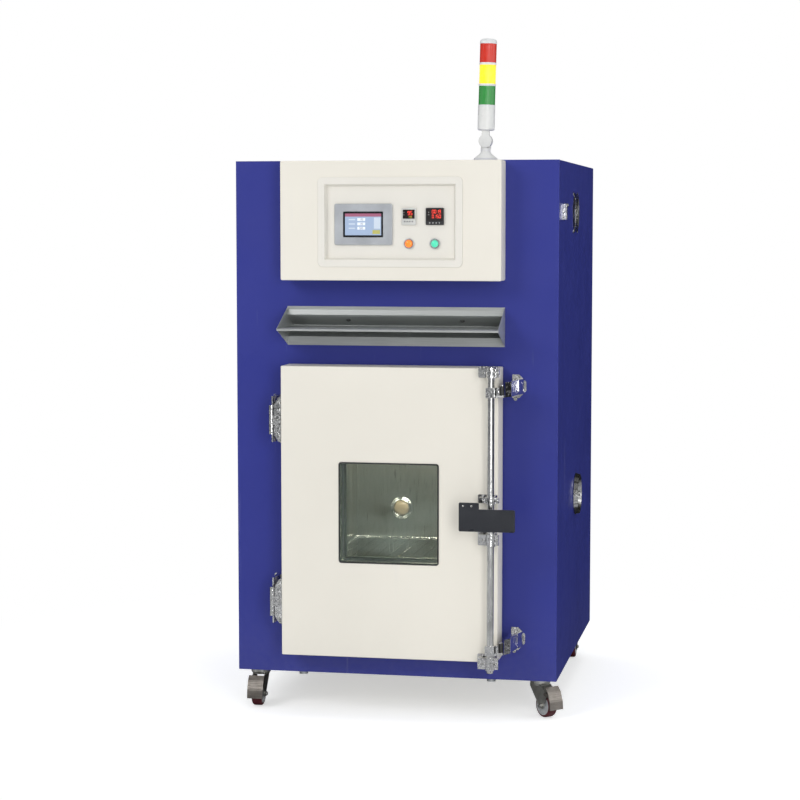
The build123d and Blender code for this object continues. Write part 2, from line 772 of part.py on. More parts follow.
# Door outer panel: cream pan with the window cut through its face
with BuildPart() as door_outer_panel:
    with BuildSketch(facing(door_back_y, 0, door_z)):
        Rectangle(door_w, door_h)
    extrude(amount=door_t)
    fillet(door_outer_panel.edges().filter_by(Axis.Y), door_edge_r)
    fillet(door_outer_panel.faces().sort_by(Axis.Y)[0].edges(), 2.5)
    with BuildSketch(facing(door_back_y + 1, 0, door_z)):
        Rectangle(door_w - 2 * door_skin, door_h - 2 * door_skin)
    extrude(amount=door_t - door_skin + 1, mode=Mode.SUBTRACT)
    with BuildSketch(facing(door_back_y, 0, door_z)):
        RectangleRounded(window + 2 * seal_lip, window + 2 * seal_lip, window_r)
    extrude(amount=door_t + 1, mode=Mode.SUBTRACT)
door_outer_panel.part.label = "door_outer_panel"
export_step(door_outer_panel.part, "parts/door_outer_panel.step")

# Door inner pan: stainless back with a shallow plug and the square window tunnel
tunnel_t = 1.2
plug_w = ch_w - 2 * plug_margin
plug_h = ch_h - 2 * plug_margin
tunnel_front = door_front_y + door_skin + fit
with BuildPart() as door_inner_pan:
    with BuildSketch(facing(door_back_y, 0, door_z)):
        Rectangle(door_w - 2 * door_skin - 2 * fit, door_h - 2 * door_skin - 2 * fit)
    extrude(amount=door_lip)
    with BuildSketch(facing(door_back_y - liner_t, 0, door_z)):
        inner_w = door_w - 2 * door_skin - 2 * fit - 2 * liner_t
        Rectangle(inner_w, door_h - 2 * door_skin - 2 * fit - 2 * liner_t)
    extrude(amount=door_lip, mode=Mode.SUBTRACT)
    with BuildSketch(facing(door_back_y + plug_depth, 0, door_z)):
        Rectangle(plug_w, plug_h)
    extrude(amount=plug_depth)
    fillet(door_inner_pan.edges().filter_by(Axis.Y).group_by(Axis.Y)[-1], 4)
    with BuildSketch(facing(door_back_y + plug_depth - liner_t, 0, door_z)):
        Rectangle(plug_w - 2 * liner_t, plug_h - 2 * liner_t)
    extrude(amount=plug_depth + 1, mode=Mode.SUBTRACT)
    with BuildSketch(facing(door_back_y + plug_depth, 0, door_z)):
        Rectangle(window + 2 * tunnel_t, window + 2 * tunnel_t)
    extrude(amount=door_back_y + plug_depth - tunnel_front)
    with BuildSketch(facing(door_back_y + plug_depth + 1, 0, door_z)):
        Rectangle(window, window)
    extrude(amount=door_t + plug_depth + 2, mode=Mode.SUBTRACT)
door_inner_pan.part.label = "door_inner_pan"
export_step(door_inner_pan.part, "parts/door_inner_pan.step")

# Door insulation: slab between the two door skins with the window tunnel through it
with BuildPart() as door_insulation:
    with BuildSketch(facing(door_back_y - liner_t - fit, 0, door_z)):
        slab_w = door_w - 2 * door_skin - 2 * liner_t - 4 * fit
        Rectangle(slab_w, door_h - 2 * door_skin - 2 * liner_t - 4 * fit)
        tunnel_hole = window + 2 * tunnel_t + 2 * fit + 12
        Rectangle(tunnel_hole, tunnel_hole, mode=Mode.SUBTRACT)
    extrude(amount=door_t - door_skin - liner_t - 2 * fit)
door_insulation.part.label = "door_insulation"
export_step(door_insulation.part, "parts/door_insulation.step")

# Door gasket: silicone ring that closes on the liner flange
gasket_inner_w = ch_w + liner_flange - gasket_w
gasket_inner_h = ch_h + liner_flange - gasket_w
with BuildPart() as door_gasket:
    with BuildSketch(facing(door_back_y, 0, door_z)):
        RectangleRounded(gasket_inner_w + 2 * gasket_w, gasket_inner_h + 2 * gasket_w, 12)
        RectangleRounded(gasket_inner_w, gasket_inner_h, 4, mode=Mode.SUBTRACT)
    extrude(amount=-(door_gap - liner_t - gasket_gap))
    fillet(door_gasket.faces().sort_by(Axis.Y)[-1].edges(), 2)
door_gasket.part.label = "door_gasket"
export_step(door_gasket.part, "parts/door_gasket.step")

# Window frame: black extruded seal around the window's cut edge
seal_outer = window + 2 * (seal_lip + seal_cover)
seal_inner = window - 2 * seal_inset
seal_cut = window + 2 * seal_lip - 2 * fit
with BuildPart() as window_frame:
    with BuildSketch(facing(door_front_y, 0, door_z)):
        RectangleRounded(seal_outer, seal_outer, window_r + seal_cover)
        RectangleRounded(seal_inner, seal_inner, window_r - 2, mode=Mode.SUBTRACT)
    extrude(amount=seal_proud)
    fillet(window_frame.faces().sort_by(Axis.Y)[0].edges(), 0.8)
    with BuildSketch(facing(door_front_y, 0, door_z)):
        RectangleRounded(seal_cut, seal_cut, window_r)
        RectangleRounded(seal_inner, seal_inner, window_r - 2, mode=Mode.SUBTRACT)
    extrude(amount=-door_skin - fit)
window_frame.part.label = "window_frame"
export_step(window_frame.part, "parts/window_frame.step")

# Window panes: three sheets of tempered glass spaced along the tunnel
pane_front = door_front_y + door_skin + 2 * fit
pane_back = door_back_y + plug_depth - 2
pane_step = (pane_back - pane_t - pane_front) / 2
with BuildPart() as window_panes:
    for pane_index in range(3):
        pane_y = pane_front + pane_index * pane_step
        with BuildSketch(facing(pane_y + pane_t, 0, door_z)):
            Rectangle(window - 2 * fit, window - 2 * fit)
        extrude(amount=pane_t)
window_panes.part.label = "window_panes"
export_step(window_panes.part, "parts/window_panes.step")

# Hinges: the cabinet halves carry the pins and the end knuckles
hinge_levels = (door_z - hinge_up, door_z + hinge_up)
with BuildPart() as hinge_leaves_cabinet:
    for hinge_z in hinge_levels:
        with BuildSketch(facing(face_y, pivot_x, hinge_z)):
            RectangleRounded(hinge_base_w, hinge_leaf_h, 4)
        extrude(amount=hinge_leaf_t)
        with BuildSketch(level(hinge_z - hinge_leaf_h / 2, pivot_x, 0)):
            with BuildLine():
                Polyline(
                    (-8, face_y - hinge_leaf_t),
                    (-2, pivot_y + 22),
                    (-2, pivot_y),
                    (2, pivot_y),
                    (2, pivot_y + 22),
                    (8, face_y - hinge_leaf_t),
                    close=True,
                )
            make_face()
        extrude(amount=hinge_leaf_h)
        with BuildSketch(abeam(pivot_x - 10, pivot_y, hinge_z)):
            with Locations((0, 0)):
                Rectangle(2 * knuckle_r + 8, 1.5 * knuckle_h - knuckle_h / 2 + 2 * knuckle_gap)
            with Locations((-6, knuckle_h * 1.5 + 20), (-6, -knuckle_h * 1.5 - 20)):
                Rectangle(2 * knuckle_r + 22, 40)
        extrude(amount=20, mode=Mode.SUBTRACT)
        for knuckle_side in (-1, 1):
            knuckle_mid = hinge_z + knuckle_side * (knuckle_h + knuckle_gap)
            with BuildSketch(level(knuckle_mid - knuckle_h / 2, pivot_x, pivot_y)):
                Circle(knuckle_r)
            extrude(amount=knuckle_h)
        with BuildSketch(level(hinge_z - knuckle_h, pivot_x, pivot_y)):
            Circle(hinge_pin_r)
        extrude(amount=2 * knuckle_h)
        with BuildSketch(facing(face_y - hinge_leaf_t, pivot_x, hinge_z)):
            with GridLocations(22, 2 * knuckle_h + 54, 2, 2):
                Circle(screw_r)
        extrude(amount=screw_h)
hinge_leaves_cabinet.part.label = "hinge_leaves_cabinet"
export_step(hinge_leaves_cabinet.part, "parts/hinge_leaves_cabinet.step")

# The door halves wrap the door's left side and carry the middle knuckles
door_left = -door_w / 2
with BuildPart() as hinge_leaves_door:
    for hinge_z in hinge_levels:
        with BuildSketch(facing(pivot_y + hinge_leaf_t / 2, 0, hinge_z)):
            with BuildLine():
                Polyline(
                    (door_left, hinge_leaf_h / 2),
                    (door_left - hinge_shoulder, hinge_leaf_h / 2 - 3),
                    (pivot_x + knuckle_r + 1, 1.5 * knuckle_h),
                    (pivot_x + knuckle_r + 1, -1.5 * knuckle_h),
                    (door_left - hinge_shoulder, 3 - hinge_leaf_h / 2),
                    (door_left, -hinge_leaf_h / 2),
                    close=True,
                )
            make_face()
            with Locations(((door_left + pivot_x) / 2, 0)):
                Rectangle(door_left - pivot_x, knuckle_h)
        extrude(amount=hinge_leaf_t)
        with BuildSketch(abeam(door_left - hinge_leaf_t, pivot_y - hinge_leaf_t / 2, hinge_z)):
            with Locations(((door_t - 26) / 2, 0)):
                Rectangle(door_t - 26, hinge_leaf_h)
        extrude(amount=hinge_leaf_t)
        with BuildSketch(level(hinge_z - knuckle_h / 2, pivot_x, pivot_y)):
            Circle(knuckle_r)
        extrude(amount=knuckle_h)
        with BuildSketch(level(hinge_z - knuckle_h / 2, pivot_x, pivot_y)):
            Circle(hinge_pin_r + running)
        extrude(amount=knuckle_h, mode=Mode.SUBTRACT)
        with BuildSketch(abeam(door_left - hinge_leaf_t, (pivot_y + door_back_y) / 2, hinge_z)):
            with GridLocations(34, 84, 2, 2):
                Circle(screw_r)
        extrude(amount=-screw_h)
hinge_leaves_door.part.label = "hinge_leaves_door"
export_step(hinge_leaves_door.part, "parts/hinge_leaves_door.step")

# Latch brackets: four bearing blocks on the door face that guide the rod, with an ear on either side
brackets = ((842.0, 30.0), (506.0, 22.0), (401.0, 36.0), (71.0, 38.0))
saddle_r = rod_r + bracket_wall
plate_left = rod_x + 13 - bracket_w
with BuildPart() as latch_brackets:
    for bracket_mid, bracket_h in brackets:
        with BuildSketch(facing(door_front_y, plate_left + bracket_w / 2, base_z + bracket_mid)):
            RectangleRounded(bracket_w, bracket_h, 3)
        extrude(amount=bracket_t)
        with BuildSketch(level(base_z + bracket_mid - bracket_h / 2 + 2, rod_x, rod_y)):
            Circle(saddle_r)
            with Locations((0, rod_stand / 2)):
                Rectangle(2 * saddle_r - 6, rod_stand)
            Circle(rod_r + running, mode=Mode.SUBTRACT)
        extrude(amount=bracket_h - 4)
        with BuildSketch(level(base_z + bracket_mid - bracket_h / 2 + 4, rod_x, rod_y)):
            with Locations(((bracket_ear_right - bracket_ear_left) / 2, 3)):
                Rectangle(bracket_ear_left + bracket_ear_right, bracket_ear_t)
            with Locations((-bracket_ear_left + 5, rod_stand / 2)):
                Rectangle(10, rod_stand)
            Circle(rod_r + running, mode=Mode.SUBTRACT)
        extrude(amount=bracket_h - 8)
        with BuildSketch(facing(rod_y + 3 - bracket_ear_t / 2, rod_x, base_z + bracket_mid)):
            with Locations((bracket_ear_right - 5, 0), (-saddle_r - 6, 0)):
                Circle(small_screw_r)
        extrude(amount=small_screw_h)
latch_brackets.part.label = "latch_brackets"
export_step(latch_brackets.part, "parts/latch_brackets.step")

# Latch rod: chromed bar the height of the door
with BuildPart() as latch_rod:
    with BuildSketch(level(base_z + rod_low, rod_x, rod_y)):
        Circle(rod_r)
    extrude(amount=rod_high - rod_low)
    chamfer(latch_rod.edges().filter_by(GeomType.CIRCLE), 1)
latch_rod.part.label = "latch_rod"
export_step(latch_rod.part, "parts/latch_rod.step")

# Latch arms: a square clamp block with a web and an ear near each end of the rod, and the roller's pin
arm_dx = arm_reach * cos(radians(arm_angle))
arm_dy = arm_reach * sin(radians(arm_angle))
with BuildPart() as latch_arms:
    for cam_z in (base_z + cam_low, base_z + cam_top):
        low = cam_z - collar_h / 2
        with BuildSketch(level(low, rod_x, rod_y)):
            RectangleRounded(2 * collar_r, 2 * collar_r, 3)
            web_x = arm_web_r * cos(radians(arm_angle))
            web_y = arm_web_r * sin(radians(arm_angle))
            with Locations(Location((web_x, web_y, 0), (0, 0, arm_angle))):
                Rectangle(arm_web_t, arm_web_w)
            Circle(rod_r + running, mode=Mode.SUBTRACT)
        extrude(amount=collar_h)
        with BuildSketch(level(low, rod_x, rod_y)):
            with BuildSketch(mode=Mode.PRIVATE) as ear:
                Circle(collar_r - 2)
                with Locations((arm_dx, arm_dy)):
                    Circle(arm_end_r)
                make_hull()
            add(ear.sketch)
            Circle(rod_r + running, mode=Mode.SUBTRACT)
        extrude(amount=arm_t)
        with BuildSketch(level(low, rod_x + arm_dx, rod_y + arm_dy)):
            Circle(roller_pin_r)
        extrude(amount=arm_t + roller_h + 1.4)
        with BuildSketch(level(low + arm_t + roller_h + 0.9, rod_x + arm_dx, rod_y + arm_dy)):
            Circle(roller_pin_r + 2)
        extrude(amount=2)
        with BuildSketch(facing(rod_y - collar_r + 1.5, rod_x, cam_z + 1)):
            Circle(bolt_r)
        extrude(amount=bolt_h)
latch_arms.part.label = "latch_arms"
export_step(latch_arms.part, "parts/latch_arms.step")

for cam_z, roller_name in ((base_z + cam_low, "roller_bottom"), (base_z + cam_top, "roller_top")):
    with BuildPart() as roller:
        with BuildSketch(level(cam_z - collar_h / 2 + arm_t + 0.4, rod_x + arm_dx, rod_y + arm_dy)):
            Circle(roller_r)
            Circle(roller_pin_r + running, mode=Mode.SUBTRACT)
        extrude(amount=roller_h)
    roller.part.label = roller_name
    export_step(roller.part, f"parts/{roller_name}.step")

# Latch handle: black plate with a raised tab, on a stem clamped to the rod
handle_y = rod_y - handle_stand
with BuildPart() as latch_handle:
    with BuildSketch(facing(handle_y, rod_x - 3, door_z)):
        RectangleRounded(handle_w, handle_h, 4)
        with Locations((-(handle_w - handle_tab_w) / 2, (handle_h + handle_tab_h) / 2 - 4)):
            RectangleRounded(handle_tab_w, handle_tab_h + 8, 3)
    extrude(amount=handle_t)
    fillet(latch_handle.faces().sort_by(Axis.Y)[0].edges(), 1.5)
    with BuildSketch(level(door_z - handle_stem_h / 2, rod_x, rod_y)):
        Circle(handle_stem_w / 2)
        with Locations((0, -handle_stand / 2)):
            Rectangle(handle_stem_w, handle_stand)
        Circle(rod_r + running, mode=Mode.SUBTRACT)
    extrude(amount=handle_stem_h)
latch_handle.part.label = "latch_handle"
export_step(latch_handle.part, "parts/latch_handle.step")

# Latch keepers: wedges on the cabinet face whose covered ramp stands beside the roller
keeper_x = rod_x + arm_dx + roller_r + keeper_gap
nose_y = rod_y + arm_dy - roller_r
keeper_right = side_x - 85
with BuildPart() as latch_keepers:
    for cam_z in (base_z + cam_low + 8, base_z + cam_top + 8):
        with BuildSketch(facing(face_y, keeper_right - keeper_base_w / 2, cam_z)) as foot:
            with BuildLine():
                Polyline(
                    (-keeper_base_w / 2, keeper_h / 2),
                    (0, keeper_h / 2),
                    (keeper_base_w / 2, keeper_nose / 2),
                    (keeper_base_w / 2, -keeper_nose / 2),
                    (0, -keeper_h / 2),
                    (-keeper_base_w / 2, -keeper_h / 2),
                    close=True,
                )
            make_face()
            fillet(foot.vertices(), 3)
        extrude(amount=keeper_t)
        for web_side in (-1, 1):
            web_low = cam_z + web_side * (keeper_web - keeper_t) / 2 - keeper_t / 2
            with BuildSketch(level(web_low)):
                with BuildLine():
                    Polyline(
                        (keeper_right - 4, face_y - keeper_t),
                        (keeper_right - 16, face_y - 34),
                        (keeper_x + 15, nose_y + 26),
                        (keeper_x + 2, nose_y),
                        (keeper_x, nose_y + 12),
                        (keeper_x + 2, face_y - 40),
                        (keeper_right - keeper_base_w + 2, face_y - keeper_t),
                        close=True,
                    )
                make_face()
            extrude(amount=keeper_t)
        with BuildSketch(level(cam_z - keeper_web / 2)):
            with BuildLine():
                Polyline(
                    (keeper_x + 2, nose_y),
                    (keeper_x, nose_y + 12),
                    (keeper_x + 2.5, nose_y + 12),
                    (keeper_x + 12, nose_y + 26),
                    (keeper_x + 15, nose_y + 26),
                    close=True,
                )
            make_face()
        extrude(amount=keeper_web)
        with BuildSketch(level(cam_z - keeper_web / 2)):
            ridge = (keeper_right - 16 - keeper_cover_t / 2, face_y - 34 + keeper_cover_t / 2)
            strip((keeper_x + 14, nose_y + 27), ridge, keeper_cover_t)
            strip(ridge, (keeper_right - 6, face_y - keeper_t), keeper_cover_t)
        extrude(amount=keeper_web)
        with BuildSketch(facing(face_y - keeper_t, keeper_right - keeper_base_w + 9, cam_z)):
            with GridLocations(1, 2 * keeper_screw_up, 1, 2):
                Circle(small_screw_r)
        extrude(amount=screw_h)
latch_keepers.part.label = "latch_keepers"
export_step(latch_keepers.part, "parts/latch_keepers.step")

# Signal tower: flanged foot with a neck, and the leaning column on its folding joint
foot_y = face_y + tower_y
pivot_z = top_z + tower_pivot
with BuildPart() as tower_base:
    with BuildSketch(Plane(origin=(tower_x, foot_y, top_z), x_dir=(1, 0, 0), z_dir=(0, -1, 0))):
        with BuildLine():
            Polyline(
                (0, 0),
                (tower_flange_r, 0),
                (tower_flange_r, 5),
                (tower_neck_r + 4, tower_flange_h),
                (tower_neck_r, tower_flange_h + 5),
                (tower_neck_r, tower_pivot - tower_disc_r - 1),
                (0, tower_pivot - tower_disc_r - 1),
                close=True,
            )
        make_face()
    revolve(axis=Axis((tower_x, foot_y, top_z), (0, 0, 1)))
    with BuildSketch(facing(foot_y + tower_disc_t + fit, tower_x, pivot_z)):
        Circle(tower_disc_r)
        with Locations((0, -tower_disc_r / 2)):
            Rectangle(2 * tower_neck_r, tower_disc_r + 4)
    extrude(amount=tower_disc_t)
    with BuildSketch(facing(foot_y + 2, tower_x, pivot_z)):
        Circle(tower_pin_r)
    extrude(amount=tower_disc_t + 2.3)
tower_base.part.label = "tower_base"
export_step(tower_base.part, "parts/tower_base.step")

lean = Plane(
    origin=(tower_x, foot_y, pivot_z),
    x_dir=(cos(radians(tower_lean)), 0, -sin(radians(tower_lean))),
    z_dir=(sin(radians(tower_lean)), 0, cos(radians(tower_lean))),
)


def on_column(height):
    """Sketch plane across the leaning column at a height above its joint."""
    return Plane(origin=lean.origin + lean.z_dir * height, x_dir=lean.x_dir, z_dir=lean.z_dir)


with BuildPart() as tower_column:
    with BuildSketch(facing(foot_y, tower_x, pivot_z)):
        Circle(tower_disc_r)
        Circle(tower_pin_r + running, mode=Mode.SUBTRACT)
    extrude(amount=tower_disc_t + fit)
    with BuildSketch(on_column(8)):
        with Locations((0, -6)):
            Rectangle(20, tower_disc_t - 0.1)
    extrude(amount=tower_body_low - 8)
    with BuildSketch(on_column(tower_body_low)):
        Circle(tower_r)
    extrude(amount=tower_body_h)
    widest = tower_column.edges().filter_by(GeomType.CIRCLE).group_by(SortBy.RADIUS)[-1]
    fillet(widest.sort_by(Axis.Z)[0], 5)
tower_column.part.label = "tower_column"
export_step(tower_column.part, "parts/tower_column.step")

lens_pitch = lens_h + ring_h
lens_start = tower_body_low + tower_body_h
for lens_index, lens_name in enumerate(("lens_green", "lens_yellow", "lens_red")):
    lens_low = lens_start + ring_h + lens_index * lens_pitch
    with BuildPart() as lens:
        with BuildSketch(on_column(lens_low)):
            Circle(tower_r - lens_inset)
            Circle(tower_r - lens_inset - lens_t, mode=Mode.SUBTRACT)
        extrude(amount=lens_h)
    lens.part.label = lens_name
    export_step(lens.part, f"parts/{lens_name}.step")

with BuildPart() as tower_trim:
    stack_h = 3 * lens_pitch
    for ring_index in range(3):
        ring_low = lens_start + ring_index * lens_pitch
        with BuildSketch(on_column(ring_low)):
            Circle(tower_r)
        extrude(amount=ring_h)
    with BuildSketch(on_column(lens_start)):
        Circle(tower_core_r)
    extrude(amount=stack_h)
    with BuildSketch(on_column(lens_start + stack_h)):
        Circle(tower_r)
    extrude(amount=tower_cap_h)
    fillet(tower_trim.faces().sort_by(Axis.Z)[-1].edges(), 9)
tower_trim.part.label = "tower_trim"
export_step(tower_trim.part, "parts/tower_trim.step")

# Side fan: frame inside the right wall, rotor on its stator, chromed guard outside
fan_cy = face_y + fan_y
fan_cz = base_z + fan_z
fan_in = side_x - skin
with BuildPart() as fan_frame:
    with BuildSketch(abeam(fan_in - fan_t, fan_cy, fan_cz)):
        RectangleRounded(fan_size, fan_size, 6)
        Circle(fan_bore_r, mode=Mode.SUBTRACT)
    extrude(amount=fan_t)
    with BuildSketch(abeam(fan_in - fan_t, fan_cy, fan_cz)):
        with PolarLocations((fan_bore_r + fan_hub_r) / 2, 4, start_angle=45):
            Rectangle(fan_bore_r - fan_hub_r + 4, 5)
        Circle(fan_hub_r)
    extrude(amount=4)
    with BuildSketch(abeam(fan_in - fan_t, fan_cy, fan_cz)):
        Circle(fan_pin_r)
    extrude(amount=14)
    with BuildSketch(abeam(fan_in - fan_t, fan_cy, fan_cz)):
        with GridLocations(fan_pitch, fan_pitch, 2, 2):
            Circle(fan_screw_r)
    extrude(amount=fan_t, mode=Mode.SUBTRACT)
fan_frame.part.label = "fan_frame"
export_step(fan_frame.part, "parts/fan_frame.step")

with BuildPart() as fan_rotor:
    with BuildSketch(abeam(fan_in - fan_t + 4.5, fan_cy, fan_cz)):
        Circle(fan_hub_r)
    extrude(amount=18)
    with BuildSketch(abeam(fan_in - fan_t + 5, fan_cy, fan_cz)):
        Circle(fan_pin_r + running)
    extrude(amount=10, mode=Mode.SUBTRACT)
    with BuildSketch(abeam(fan_in - fan_t + 4.5, fan_cy, fan_cz)):
        Circle(fan_pin_r + running)
    extrude(amount=1, mode=Mode.SUBTRACT)
    for blade in range(fan_blades):
        turn = radians(blade * 360 / fan_blades)
        outward = Vector(0, cos(turn), sin(turn))
        root = Vector(fan_in - fan_t + 13.5, fan_cy, fan_cz) + outward * (fan_hub_r - 1)
        with BuildSketch(Plane(origin=root, x_dir=(1, 0, 0), z_dir=outward)):
            with Locations(Location((0, 0, 0), (0, 0, 50))):
                Rectangle(20, 2)
        extrude(amount=fan_blade_r - fan_hub_r)
fan_rotor.part.label = "fan_rotor"
export_step(fan_rotor.part, "parts/fan_rotor.step")

with BuildPart() as fan_guard:
    for guard_r in (14, 26, 38, 50):
        with BuildSketch(abeam(side_x + guard_stand - 2 * guard_wire_r, fan_cy, fan_cz)):
            Circle(guard_r + guard_wire_r)
            Circle(guard_r - guard_wire_r, mode=Mode.SUBTRACT)
        extrude(amount=2 * guard_wire_r)
    with BuildSketch(abeam(side_x + guard_stand - 4 * guard_wire_r, fan_cy, fan_cz)):
        with Locations(Location((0, 0, 0), (0, 0, 45)), Location((0, 0, 0), (0, 0, -45))):
            Rectangle(fan_pitch * 2 ** 0.5 + 8, 3)
    extrude(amount=2 * guard_wire_r + 0.5)
    with BuildSketch(abeam(side_x, fan_cy, fan_cz)):
        with GridLocations(fan_pitch, fan_pitch, 2, 2):
            Circle(4.5)
    extrude(amount=guard_stand - 2 * guard_wire_r)
fan_guard.part.label = "fan_guard"
export_step(fan_guard.part, "parts/fan_guard.step")

# Side lock: chromed body with a swinging paddle
lock_cy = face_y + lock_y
lock_cz = base_z + lock_z
lock_pin_x = side_x + lock_t + lock_pin_out
lock_pin_z = lock_cz + lock_h / 2 - 6
with BuildPart() as side_lock:
    with BuildSketch(abeam(side_x, lock_cy, lock_cz)):
        RectangleRounded(lock_w, lock_h, 3)
    extrude(amount=lock_t)
    for ear_y in (-7.5, 7.5):
        with BuildSketch(abeam(side_x + lock_t, lock_cy + ear_y, lock_pin_z)):
            RectangleRounded(3, 9, 1)
        extrude(amount=6)
    with BuildSketch(facing(lock_cy + 8, lock_pin_x, lock_pin_z)):
        Circle(lock_pin_r)
    extrude(amount=16)
    with BuildSketch(abeam(side_x - 20, lock_cy, lock_cz)):
        Circle(lock_stem_r)
    extrude(amount=20)
side_lock.part.label = "side_lock"
export_step(side_lock.part, "parts/side_lock.step")

with BuildPart() as lock_paddle:
    paddle_len = lock_h - 8
    with BuildSketch(facing(lock_cy + paddle_w / 2, lock_pin_x, lock_pin_z)):
        Circle(paddle_head_r)
        with Locations((paddle_t / 2 - paddle_head_r, -paddle_len / 2)):
            Rectangle(paddle_t, paddle_len)
    extrude(amount=paddle_w)
    fillet(lock_paddle.edges().filter_by(Axis.Y).sort_by(Axis.Z)[:2], 1.5)
    with BuildSketch(facing(lock_cy + 8, lock_pin_x, lock_pin_z)):
        Circle(lock_pin_r + running)
    extrude(amount=16, mode=Mode.SUBTRACT)
lock_paddle.part.label = "lock_paddle"
export_step(lock_paddle.part, "parts/lock_paddle.step")

# Cable port: dished flange with its sleeve through the wall, and the plug that closes it
port_cy = face_y + port_y
port_cz = base_z + port_z
port_in = ch_w / 2
with BuildPart() as port_flange:
    with BuildSketch(Plane(origin=(0, port_cy, port_cz), x_dir=(0, 0, 1), z_dir=(0, 1, 0))):
        with BuildLine():
            Polyline(
                (port_bore_r, port_in),
                (port_bore_r + port_wall, port_in),
                (port_bore_r + port_wall, side_x),
                (port_r - 2, side_x),
                (port_r, side_x + 2),
                (port_r - 4, side_x + port_proud),
                (port_r - 8, side_x + port_proud),
                (port_r - 14, side_x + 2.5),
                (port_bore_r, side_x + 2.5),
                close=True,
            )
        make_face()
    revolve(axis=Axis((0, port_cy, port_cz), (1, 0, 0)))
port_flange.part.label = "port_flange"
export_step(port_flange.part, "parts/port_flange.step")

with BuildPart() as port_cap:
    with BuildSketch(abeam(side_x - 60, port_cy, port_cz)):
        Circle(port_bore_r - fit)
    extrude(amount=60 + 2.5 + fit)
    with BuildSketch(abeam(side_x + 2.5 + fit, port_cy, port_cz)):
        Circle(port_r - 18)
    extrude(amount=2.5, taper=20)
    with BuildSketch(abeam(side_x + 2.5 + fit, port_cy, port_cz)):
        Circle(8)
    extrude(amount=11)
    fillet(port_cap.faces().sort_by(Axis.X)[-1].edges(), 3)
    with BuildSketch(facing(port_cy - 3, side_x + 10, port_cz - 2)):
        Circle(2.2)
    extrude(amount=-20)
port_cap.part.label = "port_cap"
export_step(port_cap.part, "parts/port_cap.step")

# Cable gland at the back
with BuildPart() as cable_gland:
    with BuildSketch(facing(back_y + gland_nut_h, gland_x, gland_z)):
        RegularPolygon(gland_hex_r, 6)
    extrude(amount=gland_nut_h)
    with BuildSketch(facing(back_y + gland_len, gland_x, gland_z)):
        Circle(gland_r)
    extrude(amount=gland_len - 4)
    chamfer(cable_gland.faces().sort_by(Axis.Y)[-1].edges(), 2)
    with BuildSketch(facing(back_y, gland_x, gland_z)):
        Circle(gland_r)
    extrude(amount=gland_thread)
    with BuildSketch(facing(back_y - skin - fit, gland_x, gland_z)):
        RegularPolygon(gland_hex_r, 6)
    extrude(amount=gland_nut_h)
    with BuildSketch(facing(back_y + gland_len, gland_x, gland_z)):
        Circle(cable_r)
    extrude(amount=gland_len + gland_thread + 2, mode=Mode.SUBTRACT)
cable_gland.part.label = "cable_gland"
export_step(cable_gland.part, "parts/cable_gland.step")

# Casters: fixed mounts in one node; the rear ones carry rigid forks
race_low = caster_h - plate_t - 12
fork_top = race_low - 0.4
leg_in = wheel_w / 2 + fork_gap
axle_half = leg_in + fork_t + 4
axle_z = wheel_r
pedal_pin = (wheel_trail + pedal_pin_x, axle_z + pedal_pin_z)
front_centers = ((-caster_x, face_y + caster_front), (caster_x, face_y + caster_front))
rear_centers = ((-caster_x, back_y - caster_back), (caster_x, back_y - caster_back))


def along(cx, cy, angle, offset=0.0):
    """Plane of a caster wheel: local x points along the trail and local y up."""
    side = (-sin(radians(angle)), cos(radians(angle)))
    return Plane(
        origin=(cx + side[0] * offset, cy + side[1] * offset, 0),
        x_dir=(cos(radians(angle)), sin(radians(angle)), 0),
        z_dir=(sin(radians(angle)), -cos(radians(angle)), 0),
    )


def seated(cx, cy, angle, height):
    """Horizontal plane on a caster, turned with it."""
    return Plane(origin=(cx, cy, height), x_dir=(cos(radians(angle)), sin(radians(angle)), 0))


def fork_leg(trail, head_z):
    """Outline of a fork leg from the head down to the axle boss."""
    with BuildSketch() as leg:
        with Locations((0, head_z)):
            Rectangle(head_w, 8)
        with Locations((trail, axle_z)):
            Circle(boss_end_r)
        if trail:
            with Locations(pedal_pin):
                Circle(lug_r)
        make_hull()
    return leg.sketch


with BuildPart() as caster_mounts:
    for cx, cy in front_centers + rear_centers:
        with BuildSketch(level(caster_h - plate_t, cx, cy)):
            RectangleRounded(plate_w, plate_d, 6)
            with GridLocations(plate_w - 18, plate_d - 18, 2, 2):
                SlotOverall(12, 8.5, mode=Mode.SUBTRACT)
        extrude(amount=plate_t)
        with BuildSketch(level(race_low, cx, cy)):
            Circle(race_r)
        extrude(amount=caster_h - plate_t - race_low)
    fillet(caster_mounts.edges().filter_by(GeomType.CIRCLE).group_by(Axis.Z)[0], 3)
    for cx, cy in front_centers:
        with BuildSketch(level(race_low, cx, cy)):
            Circle(kingpin_r + running)
        extrude(amount=11, mode=Mode.SUBTRACT)
    for cx, cy in rear_centers:
        for leg_side in (-1, 1):
            with BuildSketch(along(cx, cy, 90, leg_side * (leg_in + fork_t / 2) + fork_t / 2)):
                add(fork_leg(0, race_low))
            extrude(amount=fork_t)
        with BuildSketch(along(cx, cy, 90, axle_half)):
            with Locations((0, axle_z)):
                Circle(axle_r)
        extrude(amount=2 * axle_half)
caster_mounts.part.label = "caster_mounts"
export_step(caster_mounts.part, "parts/caster_mounts.step")


